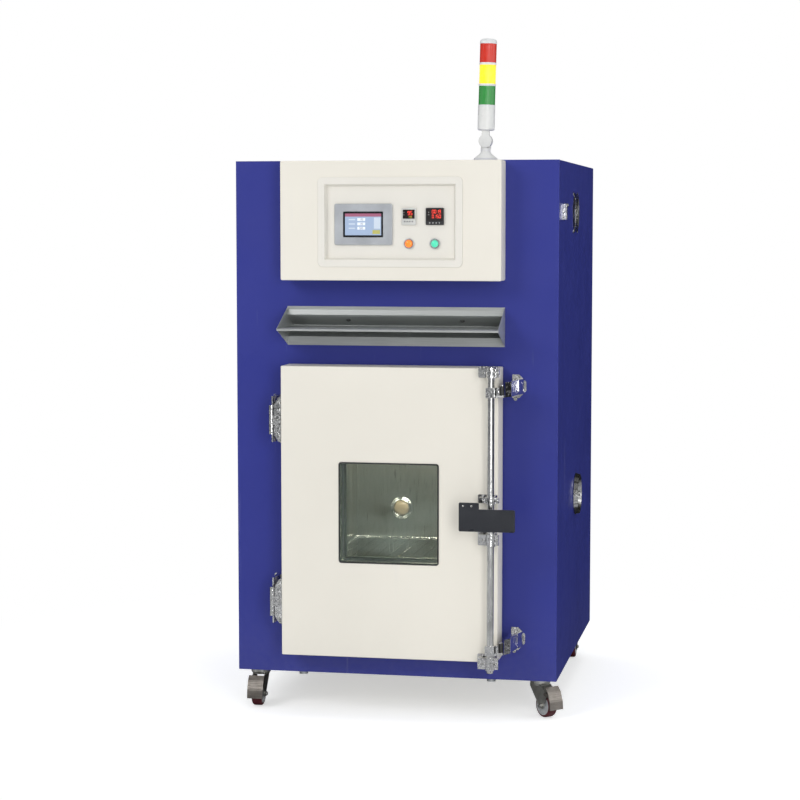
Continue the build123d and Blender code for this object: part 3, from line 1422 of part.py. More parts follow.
def swivel_fork(cx, cy, angle):
    """Fork of a front caster with its kingpin, legs and axle."""
    with BuildPart() as fork:
        with BuildSketch(seated(cx, cy, angle, fork_top - fork_t)):
            Rectangle(head_w, 2 * (leg_in + fork_t))
        extrude(amount=fork_t)
        with BuildSketch(seated(cx, cy, angle, fork_top - fork_t)):
            Circle(race_r - 3)
        extrude(amount=fork_t)
        with BuildSketch(seated(cx, cy, angle, fork_top)):
            Circle(kingpin_r)
        extrude(amount=10)
        for leg_side in (-1, 1):
            with BuildSketch(along(cx, cy, angle, leg_side * (leg_in + fork_t / 2) + fork_t / 2)):
                add(fork_leg(wheel_trail, fork_top - 4))
                with Locations(pedal_pin):
                    Circle(pedal_pin_r + running, mode=Mode.SUBTRACT)
            extrude(amount=fork_t)
        with BuildSketch(along(cx, cy, angle, axle_half)):
            with Locations((wheel_trail, axle_z)):
                Circle(axle_r)
        extrude(amount=2 * axle_half)
        for nut_offset in (axle_half, -leg_in - fork_t):
            with BuildSketch(along(cx, cy, angle, nut_offset)):
                with Locations((wheel_trail, axle_z)):
                    RegularPolygon(axle_r + 3, 6)
            extrude(amount=4)
    return fork.part


def caster_wheel(cx, cy, angle, trail):
    """Moulded wheel: rounded tread around a ribbed core with a plain bore."""
    hub = along(cx, cy, angle, wheel_w / 2)
    with BuildPart() as wheel:
        with BuildSketch(hub):
            with Locations((trail, axle_z)):
                Circle(wheel_r)
        extrude(amount=wheel_w)
        fillet(wheel.edges().filter_by(GeomType.CIRCLE), 6)
        for face_offset in (wheel_w / 2, -wheel_w / 2 + 4):
            with BuildSketch(along(cx, cy, angle, face_offset)):
                with Locations((trail, axle_z)):
                    Circle(core_r)
                    Circle(9, mode=Mode.SUBTRACT)
            extrude(amount=4, mode=Mode.SUBTRACT)
        with BuildSketch(hub):
            with Locations((trail, axle_z)):
                Circle(axle_r + running)
        extrude(amount=wheel_w, mode=Mode.SUBTRACT)
    return wheel.part


def brake_pedal(cx, cy, angle):
    """Folded brake pedal hung on a pin above the wheel, with two side lugs."""
    bends = ((22, 52), (33, 40), (41, 18), (43.5, -4))
    path = [(wheel_trail + bend_x, axle_z + bend_z) for bend_x, bend_z in bends]
    lug_in = leg_in + fork_t + 0.4
    with BuildPart() as pedal:
        with BuildSketch(along(cx, cy, angle, pedal_w / 2)):
            for start, end in zip(path, path[1:]):
                strip(start, end, pedal_t)
        extrude(amount=pedal_w)
        for lug_side in (-1, 1):
            with BuildSketch(along(cx, cy, angle, lug_side * (lug_in + lug_t / 2) + lug_t / 2)):
                with BuildSketch(mode=Mode.PRIVATE) as lug:
                    with Locations(pedal_pin):
                        Circle(lug_r)
                    with Locations((wheel_trail + 36, axle_z + 30)):
                        Circle(3)
                    make_hull()
                add(lug.sketch)
            extrude(amount=lug_t)
        with BuildSketch(along(cx, cy, angle, lug_in + lug_t)):
            with Locations(pedal_pin):
                Circle(pedal_pin_r)
        extrude(amount=2 * (lug_in + lug_t))
    return pedal.part


for side_name, (cx, cy), swivel in (
    ("left", front_centers[0], swivel_left),
    ("right", front_centers[1], swivel_right),
):
    fork_part = swivel_fork(cx, cy, swivel)
    fork_part.label = f"caster_fork_{side_name}"
    export_step(fork_part, f"parts/caster_fork_{side_name}.step")
    wheel_part = caster_wheel(cx, cy, swivel, wheel_trail)
    wheel_part.label = f"wheel_front_{side_name}"
    export_step(wheel_part, f"parts/wheel_front_{side_name}.step")
    pedal_part = brake_pedal(cx, cy, swivel)
    pedal_part.label = f"brake_pedal_{side_name}"
    export_step(pedal_part, f"parts/brake_pedal_{side_name}.step")

for side_name, (cx, cy) in (("left", rear_centers[0]), ("right", rear_centers[1])):
    wheel_part = caster_wheel(cx, cy, 90, 0)
    wheel_part.label = f"wheel_rear_{side_name}"
    export_step(wheel_part, f"parts/wheel_rear_{side_name}.step")
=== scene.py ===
# %% [markdown]
# # An aging test chamber on casters
# The real object is a blue sheet-metal cabinet with an insulated steel chamber behind a thick cream
# door, a bar latch, a polished vent visor, a control box and a signal tower. The solid model already
# holds every plate, hinge and wheel at its real size, so this scene starts from it, gives each surface
# its own finish, and adds what a drawing of solids leaves out: fasteners, wires, lenses and displays.

# %% Load the frame and keep its size
import json
from math import cos, pi, radians, sin, tau

import bmesh
import bpy
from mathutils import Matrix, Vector


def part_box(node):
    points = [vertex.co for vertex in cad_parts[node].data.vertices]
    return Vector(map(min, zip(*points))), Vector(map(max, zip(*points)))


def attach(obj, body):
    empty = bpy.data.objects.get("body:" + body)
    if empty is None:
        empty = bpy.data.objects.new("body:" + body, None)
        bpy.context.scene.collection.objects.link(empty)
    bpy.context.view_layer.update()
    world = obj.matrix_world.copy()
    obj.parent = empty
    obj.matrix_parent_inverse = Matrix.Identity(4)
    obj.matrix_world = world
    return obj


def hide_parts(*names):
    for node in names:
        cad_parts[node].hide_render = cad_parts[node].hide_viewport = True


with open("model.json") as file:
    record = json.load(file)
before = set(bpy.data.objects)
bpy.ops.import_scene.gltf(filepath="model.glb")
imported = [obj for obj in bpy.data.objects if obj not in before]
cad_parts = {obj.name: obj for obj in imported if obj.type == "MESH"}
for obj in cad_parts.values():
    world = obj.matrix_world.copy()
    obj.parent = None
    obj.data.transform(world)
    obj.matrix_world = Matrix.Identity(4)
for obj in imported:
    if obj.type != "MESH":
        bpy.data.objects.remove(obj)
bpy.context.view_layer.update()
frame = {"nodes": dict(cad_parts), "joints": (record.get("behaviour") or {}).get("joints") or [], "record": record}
nodes = frame["nodes"]


def middle_of(node):
    low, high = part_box(node)
    return (low + high) / 2


# %% [markdown]
# ## Camera
# The chamber was photographed from about five and a half metres, a little to its right and a little
# above its middle, with a long lens. A camera could be aimed by eye, but the cabinet's eight corners
# fix its place, so the position, the turn and the lens here come from fitting them.

# %% Camera
TILT_DOWN, TURN = 4.79, 10.88
camera = bpy.data.objects.new("camera", bpy.data.cameras.new("camera"))
bpy.context.collection.objects.link(camera)
camera.location = (1.081, -5.927, 1.334)
camera.rotation_euler = (radians(90 - TILT_DOWN), 0, radians(TURN))
camera.data.sensor_width = 36
camera.data.lens = 94.5
camera.data.clip_end = 100
bpy.context.scene.camera = camera
bpy.context.scene.view_settings.view_transform = "Standard"
print("camera at", tuple(camera.location), "lens", camera.data.lens)

# %% [markdown]
# ## Shader nodes in code
# Every finish, the floor and the studio itself are small trees of shader nodes. They could be wired
# by hand in the editor, but written out they can be read and changed in one place, and short helpers
# cover what recurs.


# %% Helpers that add shader nodes
def add(tree, kind, inputs=None, **settings):
    """A new node; an input is either a value or the socket that feeds it."""
    made = tree.nodes.new(kind)
    for key, value in settings.items():
        setattr(made, key, value)
    for key, value in (inputs or {}).items():
        if isinstance(value, bpy.types.NodeSocket):
            tree.links.new(value, made.inputs[key])
        else:
            made.inputs[key].default_value = value
    return made


def remap(tree, value, low, high, to_low=0.0, to_high=1.0, **settings):
    """The span low..high of a value, spread over to_low..to_high."""
    span = {"Value": value, "From Min": low, "From Max": high, "To Min": to_low, "To Max": to_high}
    return add(tree, "ShaderNodeMapRange", span, **settings).outputs[0]


def worked(tree, operation, first, second=0.0):
    return add(tree, "ShaderNodeMath", {0: first, 1: second}, operation=operation).outputs[0]


def noise(tree, where, scale, detail=1.0):
    return add(tree, "ShaderNodeTexNoise", {"Vector": where, "Scale": scale, "Detail": detail}).outputs["Fac"]


def mixed(tree, share, first, second):
    """Two colours mixed by a share."""
    return add(tree, "ShaderNodeMixRGB", {"Fac": share, "Color1": first, "Color2": second}).outputs[0]


def either(tree, share, first, second):
    """Two shaders mixed by a share."""
    return add(tree, "ShaderNodeMixShader", {0: share, 1: first, 2: second}).outputs[0]


print("node helpers ready")

# %% [markdown]
# ## Studio
# Painted sheet wants even light, but chrome shows whatever stands around it. One way is to light
# everything from the world; another is large soft lamps. Both are used, and the world answers each
# kind of ray apart: paint gets an even level, the camera sees plain white, and mirrors see a workshop
# of bright and dark bands, broken up by clutter, so the white never adds light to the paint.

# %% World: even for paint, white for the camera, a workshop for mirrors
world = bpy.data.worlds.new("studio")
bpy.context.scene.world = world
world.use_nodes = True
sky = world.node_tree
rays = add(sky, "ShaderNodeLightPath").outputs
heading = add(sky, "ShaderNodeTexCoord").outputs["Generated"]
split = add(sky, "ShaderNodeSeparateXYZ", {0: heading}).outputs
walls = add(sky, "ShaderNodeValToRGB", {"Fac": remap(sky, split["X"], -1.0, 1.0)})
BANDS = ((0.00, 0.85), (0.14, 0.80), (0.20, 0.10), (0.38, 0.08), (0.43, 0.72), (0.58, 0.75), (0.64, 0.10),
         (0.80, 0.14), (0.86, 0.9), (1.00, 0.9))
for place, _ in BANDS[1:-1]:
    walls.color_ramp.elements.new(place)
for stop, (place, level) in zip(walls.color_ramp.elements, BANDS):
    stop.position, stop.color = place, (level, level, level, 1)
upward = remap(sky, split["Z"], -0.35, 0.6, 0.35, 1.0)
behind = remap(sky, split["Y"], -0.1, 0.5, 1.0, 0.07)
clutter = remap(sky, noise(sky, heading, 7.0), 0.47, 0.52, 0.02, 1.9)
strength = worked(sky, "MULTIPLY", worked(sky, "MULTIPLY", upward, behind), clutter)


def background(color, level):
    return add(sky, "ShaderNodeBackground", {"Color": color, "Strength": level}).outputs[0]


workshop = background(walls.outputs[0], strength)
even = background((0.93, 0.96, 1, 1), 0.50)
white = background((1, 1, 1, 1), 1.0)
seen = worked(sky, "MAXIMUM", rays["Is Camera Ray"], rays["Is Transmission Ray"])
backdrop = either(sky, seen, either(sky, rays["Is Glossy Ray"], even, workshop), white)
sky.links.new(backdrop, sky.nodes["World Output"].inputs["Surface"])
print("bands round the workshop", len(BANDS))

# %% [markdown]
# ## Lamps
# A small lamp would make hard shadows and burnt spots on metal, so a photographer puts large
# diffusers round the object. Four wide lamps stand at the left front, the right front, the right side
# and above, and a small greenish one lights the chamber. Each is aimed at a point, which is easier to
# set than angles.


# %% Soft lamps
def softbox(name, place, target, size, power, tint=(1, 1, 1)):
    lamp = bpy.data.objects.new(name, bpy.data.lights.new(name, "AREA"))
    bpy.context.collection.objects.link(lamp)
    lamp.data.shape = "RECTANGLE"
    lamp.data.size, lamp.data.size_y = size
    lamp.data.energy = power
    lamp.data.color = tint
    lamp.location = place
    aim = Vector(target) - Vector(place)
    lamp.rotation_euler = aim.to_track_quat("-Z", "Y").to_euler()
    lamp.visible_camera = False
    return lamp


softbox("key_light", (-2.6, -4.2, 3.4), (0, -0.4, 0.9), (2.4, 2.0), 77)
softbox("front_fill", (2.0, -4.6, 1.4), (0, -0.4, 0.8), (1.2, 2.6), 60)
softbox("side_light", (3.8, 0.0, 2.2), (0.4, 0.1, 0.8), (2.2, 2.6), 27)
softbox("top_light", (0, 0.4, 4.2), (0, 0, 1), (3, 3), 40).visible_glossy = False
softbox("chamber_glow", (0.05, -0.10, 0.86), (0, 0.18, 0.50), (0.25, 0.25), 4.4, (1.0, 1.0, 0.80))

# %% [markdown]
# ## How the finishes are built
# A single flat colour reads as plastic at once. Each finish here is one Principled shader whose
# colour, roughness and bump are fed by noise in the object's own metres, so its grain has a real
# size and stays in place when a part moves. A few helpers hold what every finish shares.


# %% Helpers for procedural finishes
def new_finish(name, color, roughness, metallic=0.0, **sockets):
    """A new material, its tree, its shader and the place on the object, in metres."""
    material = bpy.data.materials.new(name)
    material.use_nodes = True
    tree = material.node_tree
    shader = tree.nodes["Principled BSDF"]
    sockets = {"Base Color": (*color, 1), "Roughness": roughness, "Metallic": metallic, **sockets}
    for key, value in sockets.items():
        shader.inputs[key.replace("_", " ")].default_value = value
    return material, tree, shader, add(tree, "ShaderNodeTexCoord").outputs["Object"]


def glow(color, strength):
    return {"Emission Color": (*color, 1), "Emission Strength": strength}


def scaled(color, factor):
    return [min(1, v * factor) for v in color]


def grain(tree, where, scale, stretch=(1, 1, 1), detail=3.0):
    placed = add(tree, "ShaderNodeMapping", {"Vector": where, "Scale": stretch})
    return noise(tree, placed.outputs[0], scale, detail)


def tint(tree, shader, fac, low, high, spread=(0.3, 0.7)):
    """The base colour runs from low to high as fac crosses the spread."""
    ramp = add(tree, "ShaderNodeValToRGB", {"Fac": fac})
    for stop, place, color in zip(ramp.color_ramp.elements, spread, (low, high)):
        stop.position = place
        stop.color = (*color, 1)
    tree.links.new(ramp.outputs[0], shader.inputs["Base Color"])
    return ramp.outputs[0]


def vary(tree, shader, fac, low, high):
    tree.links.new(remap(tree, fac, 0.3, 0.7, low, high), shader.inputs["Roughness"])


def bump(tree, shader, fac, distance, strength=1.0, under=None):
    made = add(tree, "ShaderNodeBump", {"Height": fac, "Distance": distance, "Strength": strength})
    if under is not None:
        tree.links.new(under.outputs[0], made.inputs["Normal"])
    tree.links.new(made.outputs[0], shader.inputs["Normal"])
    return made


print("finish helpers ready")

# %% [markdown]
# ## Floor
# The chamber stands on pale studio flooring that runs into the white behind it. A curved sweep would
# show its bend from the sides, so the floor is one large flat sheet. Near the object it takes the
# shadow, from 0.7 to 1.7 m out it fades to plain white, and mirrors see a painted reflection: to
# reflected rays alone the floor is patchy in front and dark behind.

# %% Pale floor
HALF_SIDE = 30
floor_mesh = bpy.data.meshes.new("floor")
corners = [(x * HALF_SIDE, y * HALF_SIDE, 0) for x, y in ((-1, -1), (1, -1), (1, 1), (-1, 1))]
floor_mesh.from_pydata(corners, [], [(0, 1, 2, 3)])
floor = bpy.data.objects.new("floor", floor_mesh)
bpy.context.collection.objects.link(floor)
floor_finish, ground, board, spot = new_finish(
    "pale_floor", (0.86, 0.86, 0.86), 0.75, Specular_IOR_Level=0.2)
kinds = add(ground, "ShaderNodeLightPath").outputs
lift, blank = (add(ground, "ShaderNodeEmission", {"Strength": level}).outputs[0] for level in (0.50, 1.0))
near = add(ground, "ShaderNodeAddShader", {0: board.outputs[0], 1: lift}).outputs[0]
reach = add(ground, "ShaderNodeVectorMath", {0: spot}, operation="LENGTH").outputs["Value"]
fade = remap(ground, reach, 0.7, 1.7, interpolation_type="SMOOTHSTEP")
# Painted reflection: only reflected rays see this floor, patchy in front and nearly black behind.
rear = remap(ground, add(ground, "ShaderNodeSeparateXYZ", {0: spot}).outputs["Y"], -0.5, 0.3)
painted_reflection_mottle = remap(ground, noise(ground, spot, 4.0), 0.46, 0.54, 0.08, 0.85)
tone = mixed(ground, rear, painted_reflection_mottle, (0.03, 0.03, 0.03, 1))
painted_reflection_floor = add(ground, "ShaderNodeBsdfDiffuse", {"Color": tone}).outputs[0]
unseen = either(ground, kinds["Is Glossy Ray"], board.outputs[0], painted_reflection_floor)
pale = either(ground, kinds["Is Camera Ray"], unseen, either(ground, fade, near, blank))
ground.links.new(pale, ground.nodes["Material Output"].inputs["Surface"])
floor.data.materials.append(floor_finish)
print("floor side", 2 * HALF_SIDE)

# %% [markdown]
# ## Powder coat
# The cabinet and the door are baked powder coat: even colour, a satin gloss and the fine orange peel
# of melted powder. A clear colour with a bump at about a millimetre gives that. A broad, faint change
# of tone keeps the large sheets alive, dust dulls the bottom hand's breadth, and a few rubbed streaks
# catch the light.


# %% Powder coat
DUST, BARE_METAL = (0.35, 0.33, 0.30, 1), (0.62, 0.63, 0.66, 1)


def powder_coat(name, color, roughness=0.36):
    material, tree, shader, where = new_finish(
        name, color, roughness, Coat_Weight=0.04, Coat_Roughness=0.3, Specular_IOR_Level=0.3)
    base = tint(tree, shader, grain(tree, where, 1.7), scaled(color, 0.95), scaled(color, 1.04))
    height = add(tree, "ShaderNodeSeparateXYZ", {0: where}).outputs["Z"]
    dusty = worked(tree, "MULTIPLY", remap(tree, height, 0.1, 0.32, 0.08, 0.0), grain(tree, where, 60, detail=6))
    dust = mixed(tree, dusty, base, DUST)
    rubbed = remap(tree, grain(tree, where, 40, (1, 1, 0.06), 5), 0.66, 0.78, 0.0, 0.10)
    tree.links.new(mixed(tree, rubbed, dust, BARE_METAL), shader.inputs["Base Color"])
    vary(tree, shader, grain(tree, where, 9, detail=4), roughness - 0.05, roughness + 0.07)
    waves = bump(tree, shader, grain(tree, where, 5, detail=1), 0.0006, 0.35)
    bump(tree, shader, grain(tree, where, 750, detail=2), 0.00012, 0.3, waves)
    return material


blue = powder_coat("blue_powder_coat", (0.030, 0.039, 0.262))
cream = powder_coat("cream_powder_coat", (0.83, 0.79, 0.70), 0.42)
panel_paint = powder_coat("panel_paint", (0.80, 0.77, 0.70), 0.46)
print("coats", [m.name for m in (blue, cream, panel_paint)])

# %% [markdown]
# ## Bare steels
# The chamber and the visor are stainless sheet. Rolled sheet has a fine grain along one direction,
# which could be an anisotropic shader; stretched noise in roughness and bump gives the same long
# streaks and survives any renderer. The visor is duller than the liner, so it is less of a mirror,
# and all three have the soft dents that make reflections swim.


# %% Brushed and polished sheet
def brushed_steel(name, color, roughness, stretch, dent=0.0004, metallic=1.0):
    material, tree, shader, where = new_finish(name, color, roughness, metallic)
    lines = grain(tree, where, 900, stretch, 4)
    tint(tree, shader, lines, scaled(color, 0.88), scaled(color, 1.08))
    vary(tree, shader, lines, roughness - 0.08, roughness + 0.10)
    soft = bump(tree, shader, grain(tree, where, 7, detail=2), dent, 0.5)
    bump(tree, shader, lines, 0.00003, 0.6, soft)
    return material


liner_steel = brushed_steel("liner_steel", (0.50, 0.51, 0.49), 0.34, (1, 1, 0.02))
visor_steel = brushed_steel("visor_steel", (0.50, 0.52, 0.51), 0.40, (0.02, 1, 1), metallic=0.6)
mirror_steel = brushed_steel("polished_steel", (0.66, 0.66, 0.65), 0.14, (1, 0.05, 1), 0.0005)
print("sheet steels ready")

# %% [markdown]
# ## Plated metal
# Hinges, latch and guards are chrome on steel, the casters' forks zinc. Plating is smooth, yet the
# casting below it isn't, and that makes it glitter: the roughness is low, and dents, deep or fine as
# each part needs, carry the look. The frame is galvanised, and zinc grows in flakes, so it gets cells
# of tone.


# %% Plated and galvanised metal
def plated_metal(name, color, roughness, dent, dent_scale):
    material, tree, shader, where = new_finish(name, color, roughness, 1.0)
    cloud = grain(tree, where, 55, detail=5)
    tint(tree, shader, cloud, scaled(color, 0.72), color, (0.25, 0.6))
    vary(tree, shader, cloud, roughness, roughness + 0.09)
    soft = bump(tree, shader, grain(tree, where, dent_scale, detail=2), dent, 0.8)
    bump(tree, shader, grain(tree, where, 1800, detail=2), 0.00002, 0.4, soft)
    return material


chrome = plated_metal("chrome_plate", (0.84, 0.84, 0.84), 0.06, 0.0015, 125)
chrome_rod = plated_metal("chrome_bar", (0.78, 0.78, 0.77), 0.10, 0.0002, 30)
zinc = plated_metal("zinc_plate", (0.60, 0.60, 0.57), 0.28, 0.0005, 70)
pressed_steel = plated_metal("pressed_steel", (0.34, 0.31, 0.28), 0.34, 0.0005, 90)
cast_aluminium = plated_metal("cast_aluminium", (0.55, 0.56, 0.57), 0.45, 0.0006, 220)
screw_steel = plated_metal("screw_steel", (0.62, 0.62, 0.60), 0.20, 0.0003, 300)
dark_screw = plated_metal("dark_screw", (0.12, 0.12, 0.12), 0.35, 0.0003, 300)


def galvanised(name):
    material, tree, shader, where = new_finish(name, (0.48, 0.50, 0.51), 0.45, 0.85)
    flakes = add(tree, "ShaderNodeTexVoronoi", {"Vector": where, "Scale": 70.0}).outputs["Distance"]
    tint(tree, shader, flakes, (0.36, 0.38, 0.40), (0.58, 0.60, 0.61), (0.05, 0.6))
    vary(tree, shader, flakes, 0.38, 0.58)
    bump(tree, shader, grain(tree, where, 400), 0.0001, 0.4)
    return material


frame_zinc = galvanised("galvanised_tube")
print("plated metals ready")

# %% [markdown]
# ## Plastics, rubber and wool
# Moulded parts have a spark-eroded grain of a tenth of a millimetre, rubber is duller and picks up
# dust, and mineral wool is a mat of fibres. All three are the same idea with other sizes, so one
# helper takes the grain's size and depth.


# %% Moulded plastic, rubber, gasket and wool
def moulded(name, color, roughness, size=1500, depth=0.00006, haze=0.10, **sockets):
    material, tree, shader, where = new_finish(name, color, roughness, **sockets)
    cloud = grain(tree, where, 18, detail=5)
    pale = [min(1, v * (1 + haze) + haze * 0.05) for v in color]
    tint(tree, shader, cloud, [v * (1 - haze) for v in color], pale)
    vary(tree, shader, cloud, max(0.03, roughness - 0.06), roughness + 0.08)
    bump(tree, shader, grain(tree, where, size, detail=3), depth, 0.7)
    return material


black_plastic = moulded("black_plastic", (0.022, 0.023, 0.026), 0.40)
handle_plastic = moulded("handle_black", (0.020, 0.022, 0.028), 0.30, 900, 0.00008)
silver_plastic = moulded("silver_plastic", (0.50, 0.52, 0.55), 0.34, 2200, 0.00003, Metallic=0.35)
pale_plastic = moulded("pale_plastic", (0.64, 0.64, 0.61), 0.38, 1500, 0.00005)
ivory = moulded("ivory_plastic", (0.78, 0.78, 0.75), 0.28, 700, 0.00004, 0.05)
lens_trim = moulded("tower_ring_plastic", (0.74, 0.75, 0.74), 0.30, 700, 0.00004, 0.06)
rotor_plastic = moulded("fan_plastic", (0.016, 0.016, 0.017), 0.35)
roller_nylon = moulded("roller_nylon", (0.03, 0.03, 0.03), 0.42, 1500, 0.00008, 0.2)
gland_nylon = moulded("gland_nylon", (0.035, 0.035, 0.037), 0.48)
seal_rubber = moulded("seal_rubber", (0.018, 0.018, 0.018), 0.55, 1200, 0.0001, 0.3)
gasket_silicone = moulded("gasket_silicone", (0.70, 0.68, 0.62), 0.60, 500, 0.0002, 0.08)
mineral_wool = moulded("mineral_wool", (0.55, 0.50, 0.36), 0.95, 160, 0.003, 0.35)
print("plastics ready")

# %% [markdown]
# ## Window glass
# The window is tempered sheet with a faint green body. True refraction through three panes would
# leave the chamber black and noisy, so the panes are mostly clear sheets whose face turns reflective
# at a grazing angle, as glass does, with faint smears from wiping.


# %% Window glass
def window_glass(name):
    material, tree, shader, where = new_finish(name, (0.62, 0.76, 0.66), 0.03, 1.0)
    edge = add(tree, "ShaderNodeFresnel", {"IOR": 1.5}).outputs[0]
    film = remap(tree, edge, 0.04, 1.0, 0.045, 0.95)
    smears = grain(tree, where, 14, (1, 1, 0.4), 6)
    haze = remap(tree, smears, 0.5, 0.8, 0.0, 0.02)
    tree.links.new(worked(tree, "ADD", film, haze), shader.inputs["Alpha"])
    vary(tree, shader, smears, 0.02, 0.10)
    return material


glass = window_glass("tempered_glass")
print("glass ready")

# %% [markdown]
# ## Tower lenses
# The tower's lenses are tinted plastic with moulded prisms on the inside, which show as fine upright
# lines. Modelled prisms would need thousands of faces for a few pixels, so a wave of the angle round
# the tower's axis gives their tone and bump.

# %% Tower lenses
PRISMS = 44


def tower_lens(name, color, cover, shine):
    """Tinted plastic: cover is how much of what is behind it the lens hides."""
    material, tree, shader, where = new_finish(
        name, color, 0.14, IOR=1.49, Coat_Weight=0.5, Alpha=cover, **glow(color, shine))
    apart = {0: where, 1: middle_of("tower_trim")}
    placed = add(tree, "ShaderNodeVectorMath", apart, operation="SUBTRACT").outputs[0]
    split = add(tree, "ShaderNodeSeparateXYZ", {0: placed}).outputs
    turn = worked(tree, "ARCTAN2", split["Y"], split["X"])
    wave = worked(tree, "SINE", worked(tree, "MULTIPLY", turn, float(PRISMS)))
    level = remap(tree, wave, -1.0, 1.0)
    tint(tree, shader, level, scaled(color, 0.72), color, (0.1, 0.9))
    bump(tree, shader, level, 0.0006, 0.5)
    vary(tree, shader, grain(tree, where, 90), 0.10, 0.22)
    return material


red_lens = tower_lens("red_lens", (0.72, 0.030, 0.012), 0.93, 0.12)
yellow_lens = tower_lens("yellow_lens", (1.0, 0.62, 0.012), 0.62, 0.9)
green_lens = tower_lens("green_lens", (0.040, 0.33, 0.062), 0.93, 0.10)
print("lenses with prisms", PRISMS)

# %% [markdown]
# ## Wheels in two colours
# Each caster wheel is a maroon polyurethane tread moulded onto a grey core. The solid wheel is one
# piece, so the colour changes with the distance from the axle, measured in the wheel's own space: a
# cross product with the axle's direction gives that distance at any point.


# %% Wheel finish by radius
TREAD_FROM = 0.0255


def wheel_finish(name, node):
    axle = next(j for j in frame["joints"] if j["child"] == node)["axis"]
    material, tree, shader, where = new_finish(name, (0.2, 0.2, 0.2), 0.45)
    arm = add(tree, "ShaderNodeVectorMath", {0: where, 1: middle_of(node)}, operation="SUBTRACT").outputs[0]
    swept = add(tree, "ShaderNodeVectorMath", {0: arm, 1: tuple(axle)}, operation="CROSS_PRODUCT").outputs[0]
    radius = add(tree, "ShaderNodeVectorMath", {0: swept}, operation="LENGTH").outputs["Value"]
    tread = remap(tree, radius, TREAD_FROM, TREAD_FROM + 0.0004)
    scuffs = grain(tree, where, 120, detail=6)
    core = tint(tree, shader, scuffs, (0.36, 0.37, 0.38), (0.58, 0.59, 0.60), (0, 1))
    tyre = tint(tree, shader, scuffs, (0.045, 0.006, 0.009), (0.13, 0.018, 0.026), (0, 1))
    tree.links.new(mixed(tree, tread, core, tyre), shader.inputs["Base Color"])
    vary(tree, shader, scuffs, 0.35, 0.6)
    bump(tree, shader, grain(tree, where, 700), 0.0001, 0.6)
    return material


wheels = [n for n in nodes if n.startswith("wheel_")]
for name in wheels:
    nodes[name].material_slots[0].material = wheel_finish(f"{name}_finish", name)
print("wheels", wheels)

# %% [markdown]
# ## Dressing the solid parts
# Every solid keeps its shape and gets the finish its real counterpart has. The list is by part, so a
# change of one finish stays in one place.

# %% Give each solid part its finish
dress = {
    frame_zinc: ["base_frame"],
    blue: ["outer_casing", "rear_panel", "front_frame"],
    cream: ["control_box", "door_outer_panel"],
    panel_paint: ["instrument_panel"],
    liner_steel: ["chamber_liner", "air_baffle", "shelf_rails", "door_inner_pan", "heater_elements",
                  "blower_wheel"],
    visor_steel: ["vent_visor"],
    mirror_steel: ["port_flange", "port_cap"],
    chrome: ["side_lock", "lock_paddle", "hinge_leaves_cabinet", "hinge_leaves_door", "latch_keepers",
             "latch_brackets", "latch_arms", "fan_guard", "wire_shelves", "chamber_lamp"],
    chrome_rod: ["latch_rod"],
    zinc: ["caster_mounts", "caster_fork_left", "caster_fork_right"],
    pressed_steel: ["brake_pedal_left", "brake_pedal_right"],
    cast_aluminium: ["blower_motor"],
    mineral_wool: ["chamber_insulation", "door_insulation"],
    gasket_silicone: ["door_gasket"],
    seal_rubber: ["window_frame"],
    glass: ["window_panes"],
    silver_plastic: ["touch_panel", "button_bezels"],
    black_plastic: ["timer", "fan_frame"],
    pale_plastic: ["temperature_controller"],
    rotor_plastic: ["fan_rotor"],
    roller_nylon: ["roller_top", "roller_bottom"],
    handle_plastic: ["latch_handle"],
    gland_nylon: ["cable_gland"],
    ivory: ["tower_base", "tower_column"],
    lens_trim: ["tower_trim"],
    red_lens: ["lens_red"],
    yellow_lens: ["lens_yellow"],
    green_lens: ["lens_green"],
}
for finish, names in dress.items():
    for name in names:
        for slot in nodes[name].material_slots:
            slot.material = finish
print("dressed", sum(len(names) for names in dress.values()), "of", len(nodes))

# %% [markdown]
# ## Making new pieces
# The rest is small metalwork, wire, glass and displays. Primitives would look like toys, so three
# makers cover nearly everything: turning, cutting and bending wire. Each gives vertices and faces in
# the frame's metres, and one function makes a piece of them.


# %% From vertices and faces to a piece
TO_USER, TO_BACK, TO_RIGHT, TO_LEFT, UP = (0, -1, 0), (0, 1, 0), (1, 0, 0), (-1, 0, 0), (0, 0, 1)
BOTH = (-1, 1)


def finish_piece(name, shape, finish, body, smooth=True, bevel=0.0):
    """A mesh piece of (vertices, faces), with its finish, riding on a body."""
    verts, faces = shape
    mesh = bpy.data.meshes.new(name)
    mesh.from_pydata([tuple(v) for v in verts], [], faces)
    skin = bmesh.new()
    skin.from_mesh(mesh)
    bmesh.ops.recalc_face_normals(skin, faces=skin.faces)
    skin.to_mesh(mesh)
    skin.free()
    piece = bpy.data.objects.new(name, mesh)
    bpy.context.collection.objects.link(piece)
    mesh.materials.append(finish)
    for face in mesh.polygons:
        face.use_smooth = smooth
    if smooth:
        mesh.set_sharp_from_angle(angle=radians(32))
    if bevel:
        soft = piece.modifiers.new("worn_edge", "BEVEL")
        soft.width, soft.segments, soft.angle_limit = bevel, 2, radians(40)
    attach(piece, body)
    return piece


def joined(parts):
    """Several shapes as one."""
    verts, faces = [], []
    for more_verts, more_faces in parts:
        start = len(verts)
        verts += more_verts
        faces += [tuple(start + k for k in face) for face in more_faces]
    return verts, faces


print("piece maker ready")

# %% [markdown]
# ## Turning
# Screw heads, caps, rings and domes have an axis. A profile of radius and height is stepped round it,
# and a softer curve only needs more points.


# %% Turned shapes
def frame_of(axis):
    """Two directions square to an axis, and the axis itself."""
    axis = Vector(axis).normalized()
    side = axis.cross(Vector((0, 0, 1)))
    if side.length < 0.5:
        side = Vector((1, 0, 0))
    side = side.normalized()
    return side, axis.cross(side), axis


def circle(centre, side, up, radius, steps):
    angles = [tau * k / steps for k in range(steps)]
    return [centre + (side * cos(a) + up * sin(a)) * radius for a in angles]


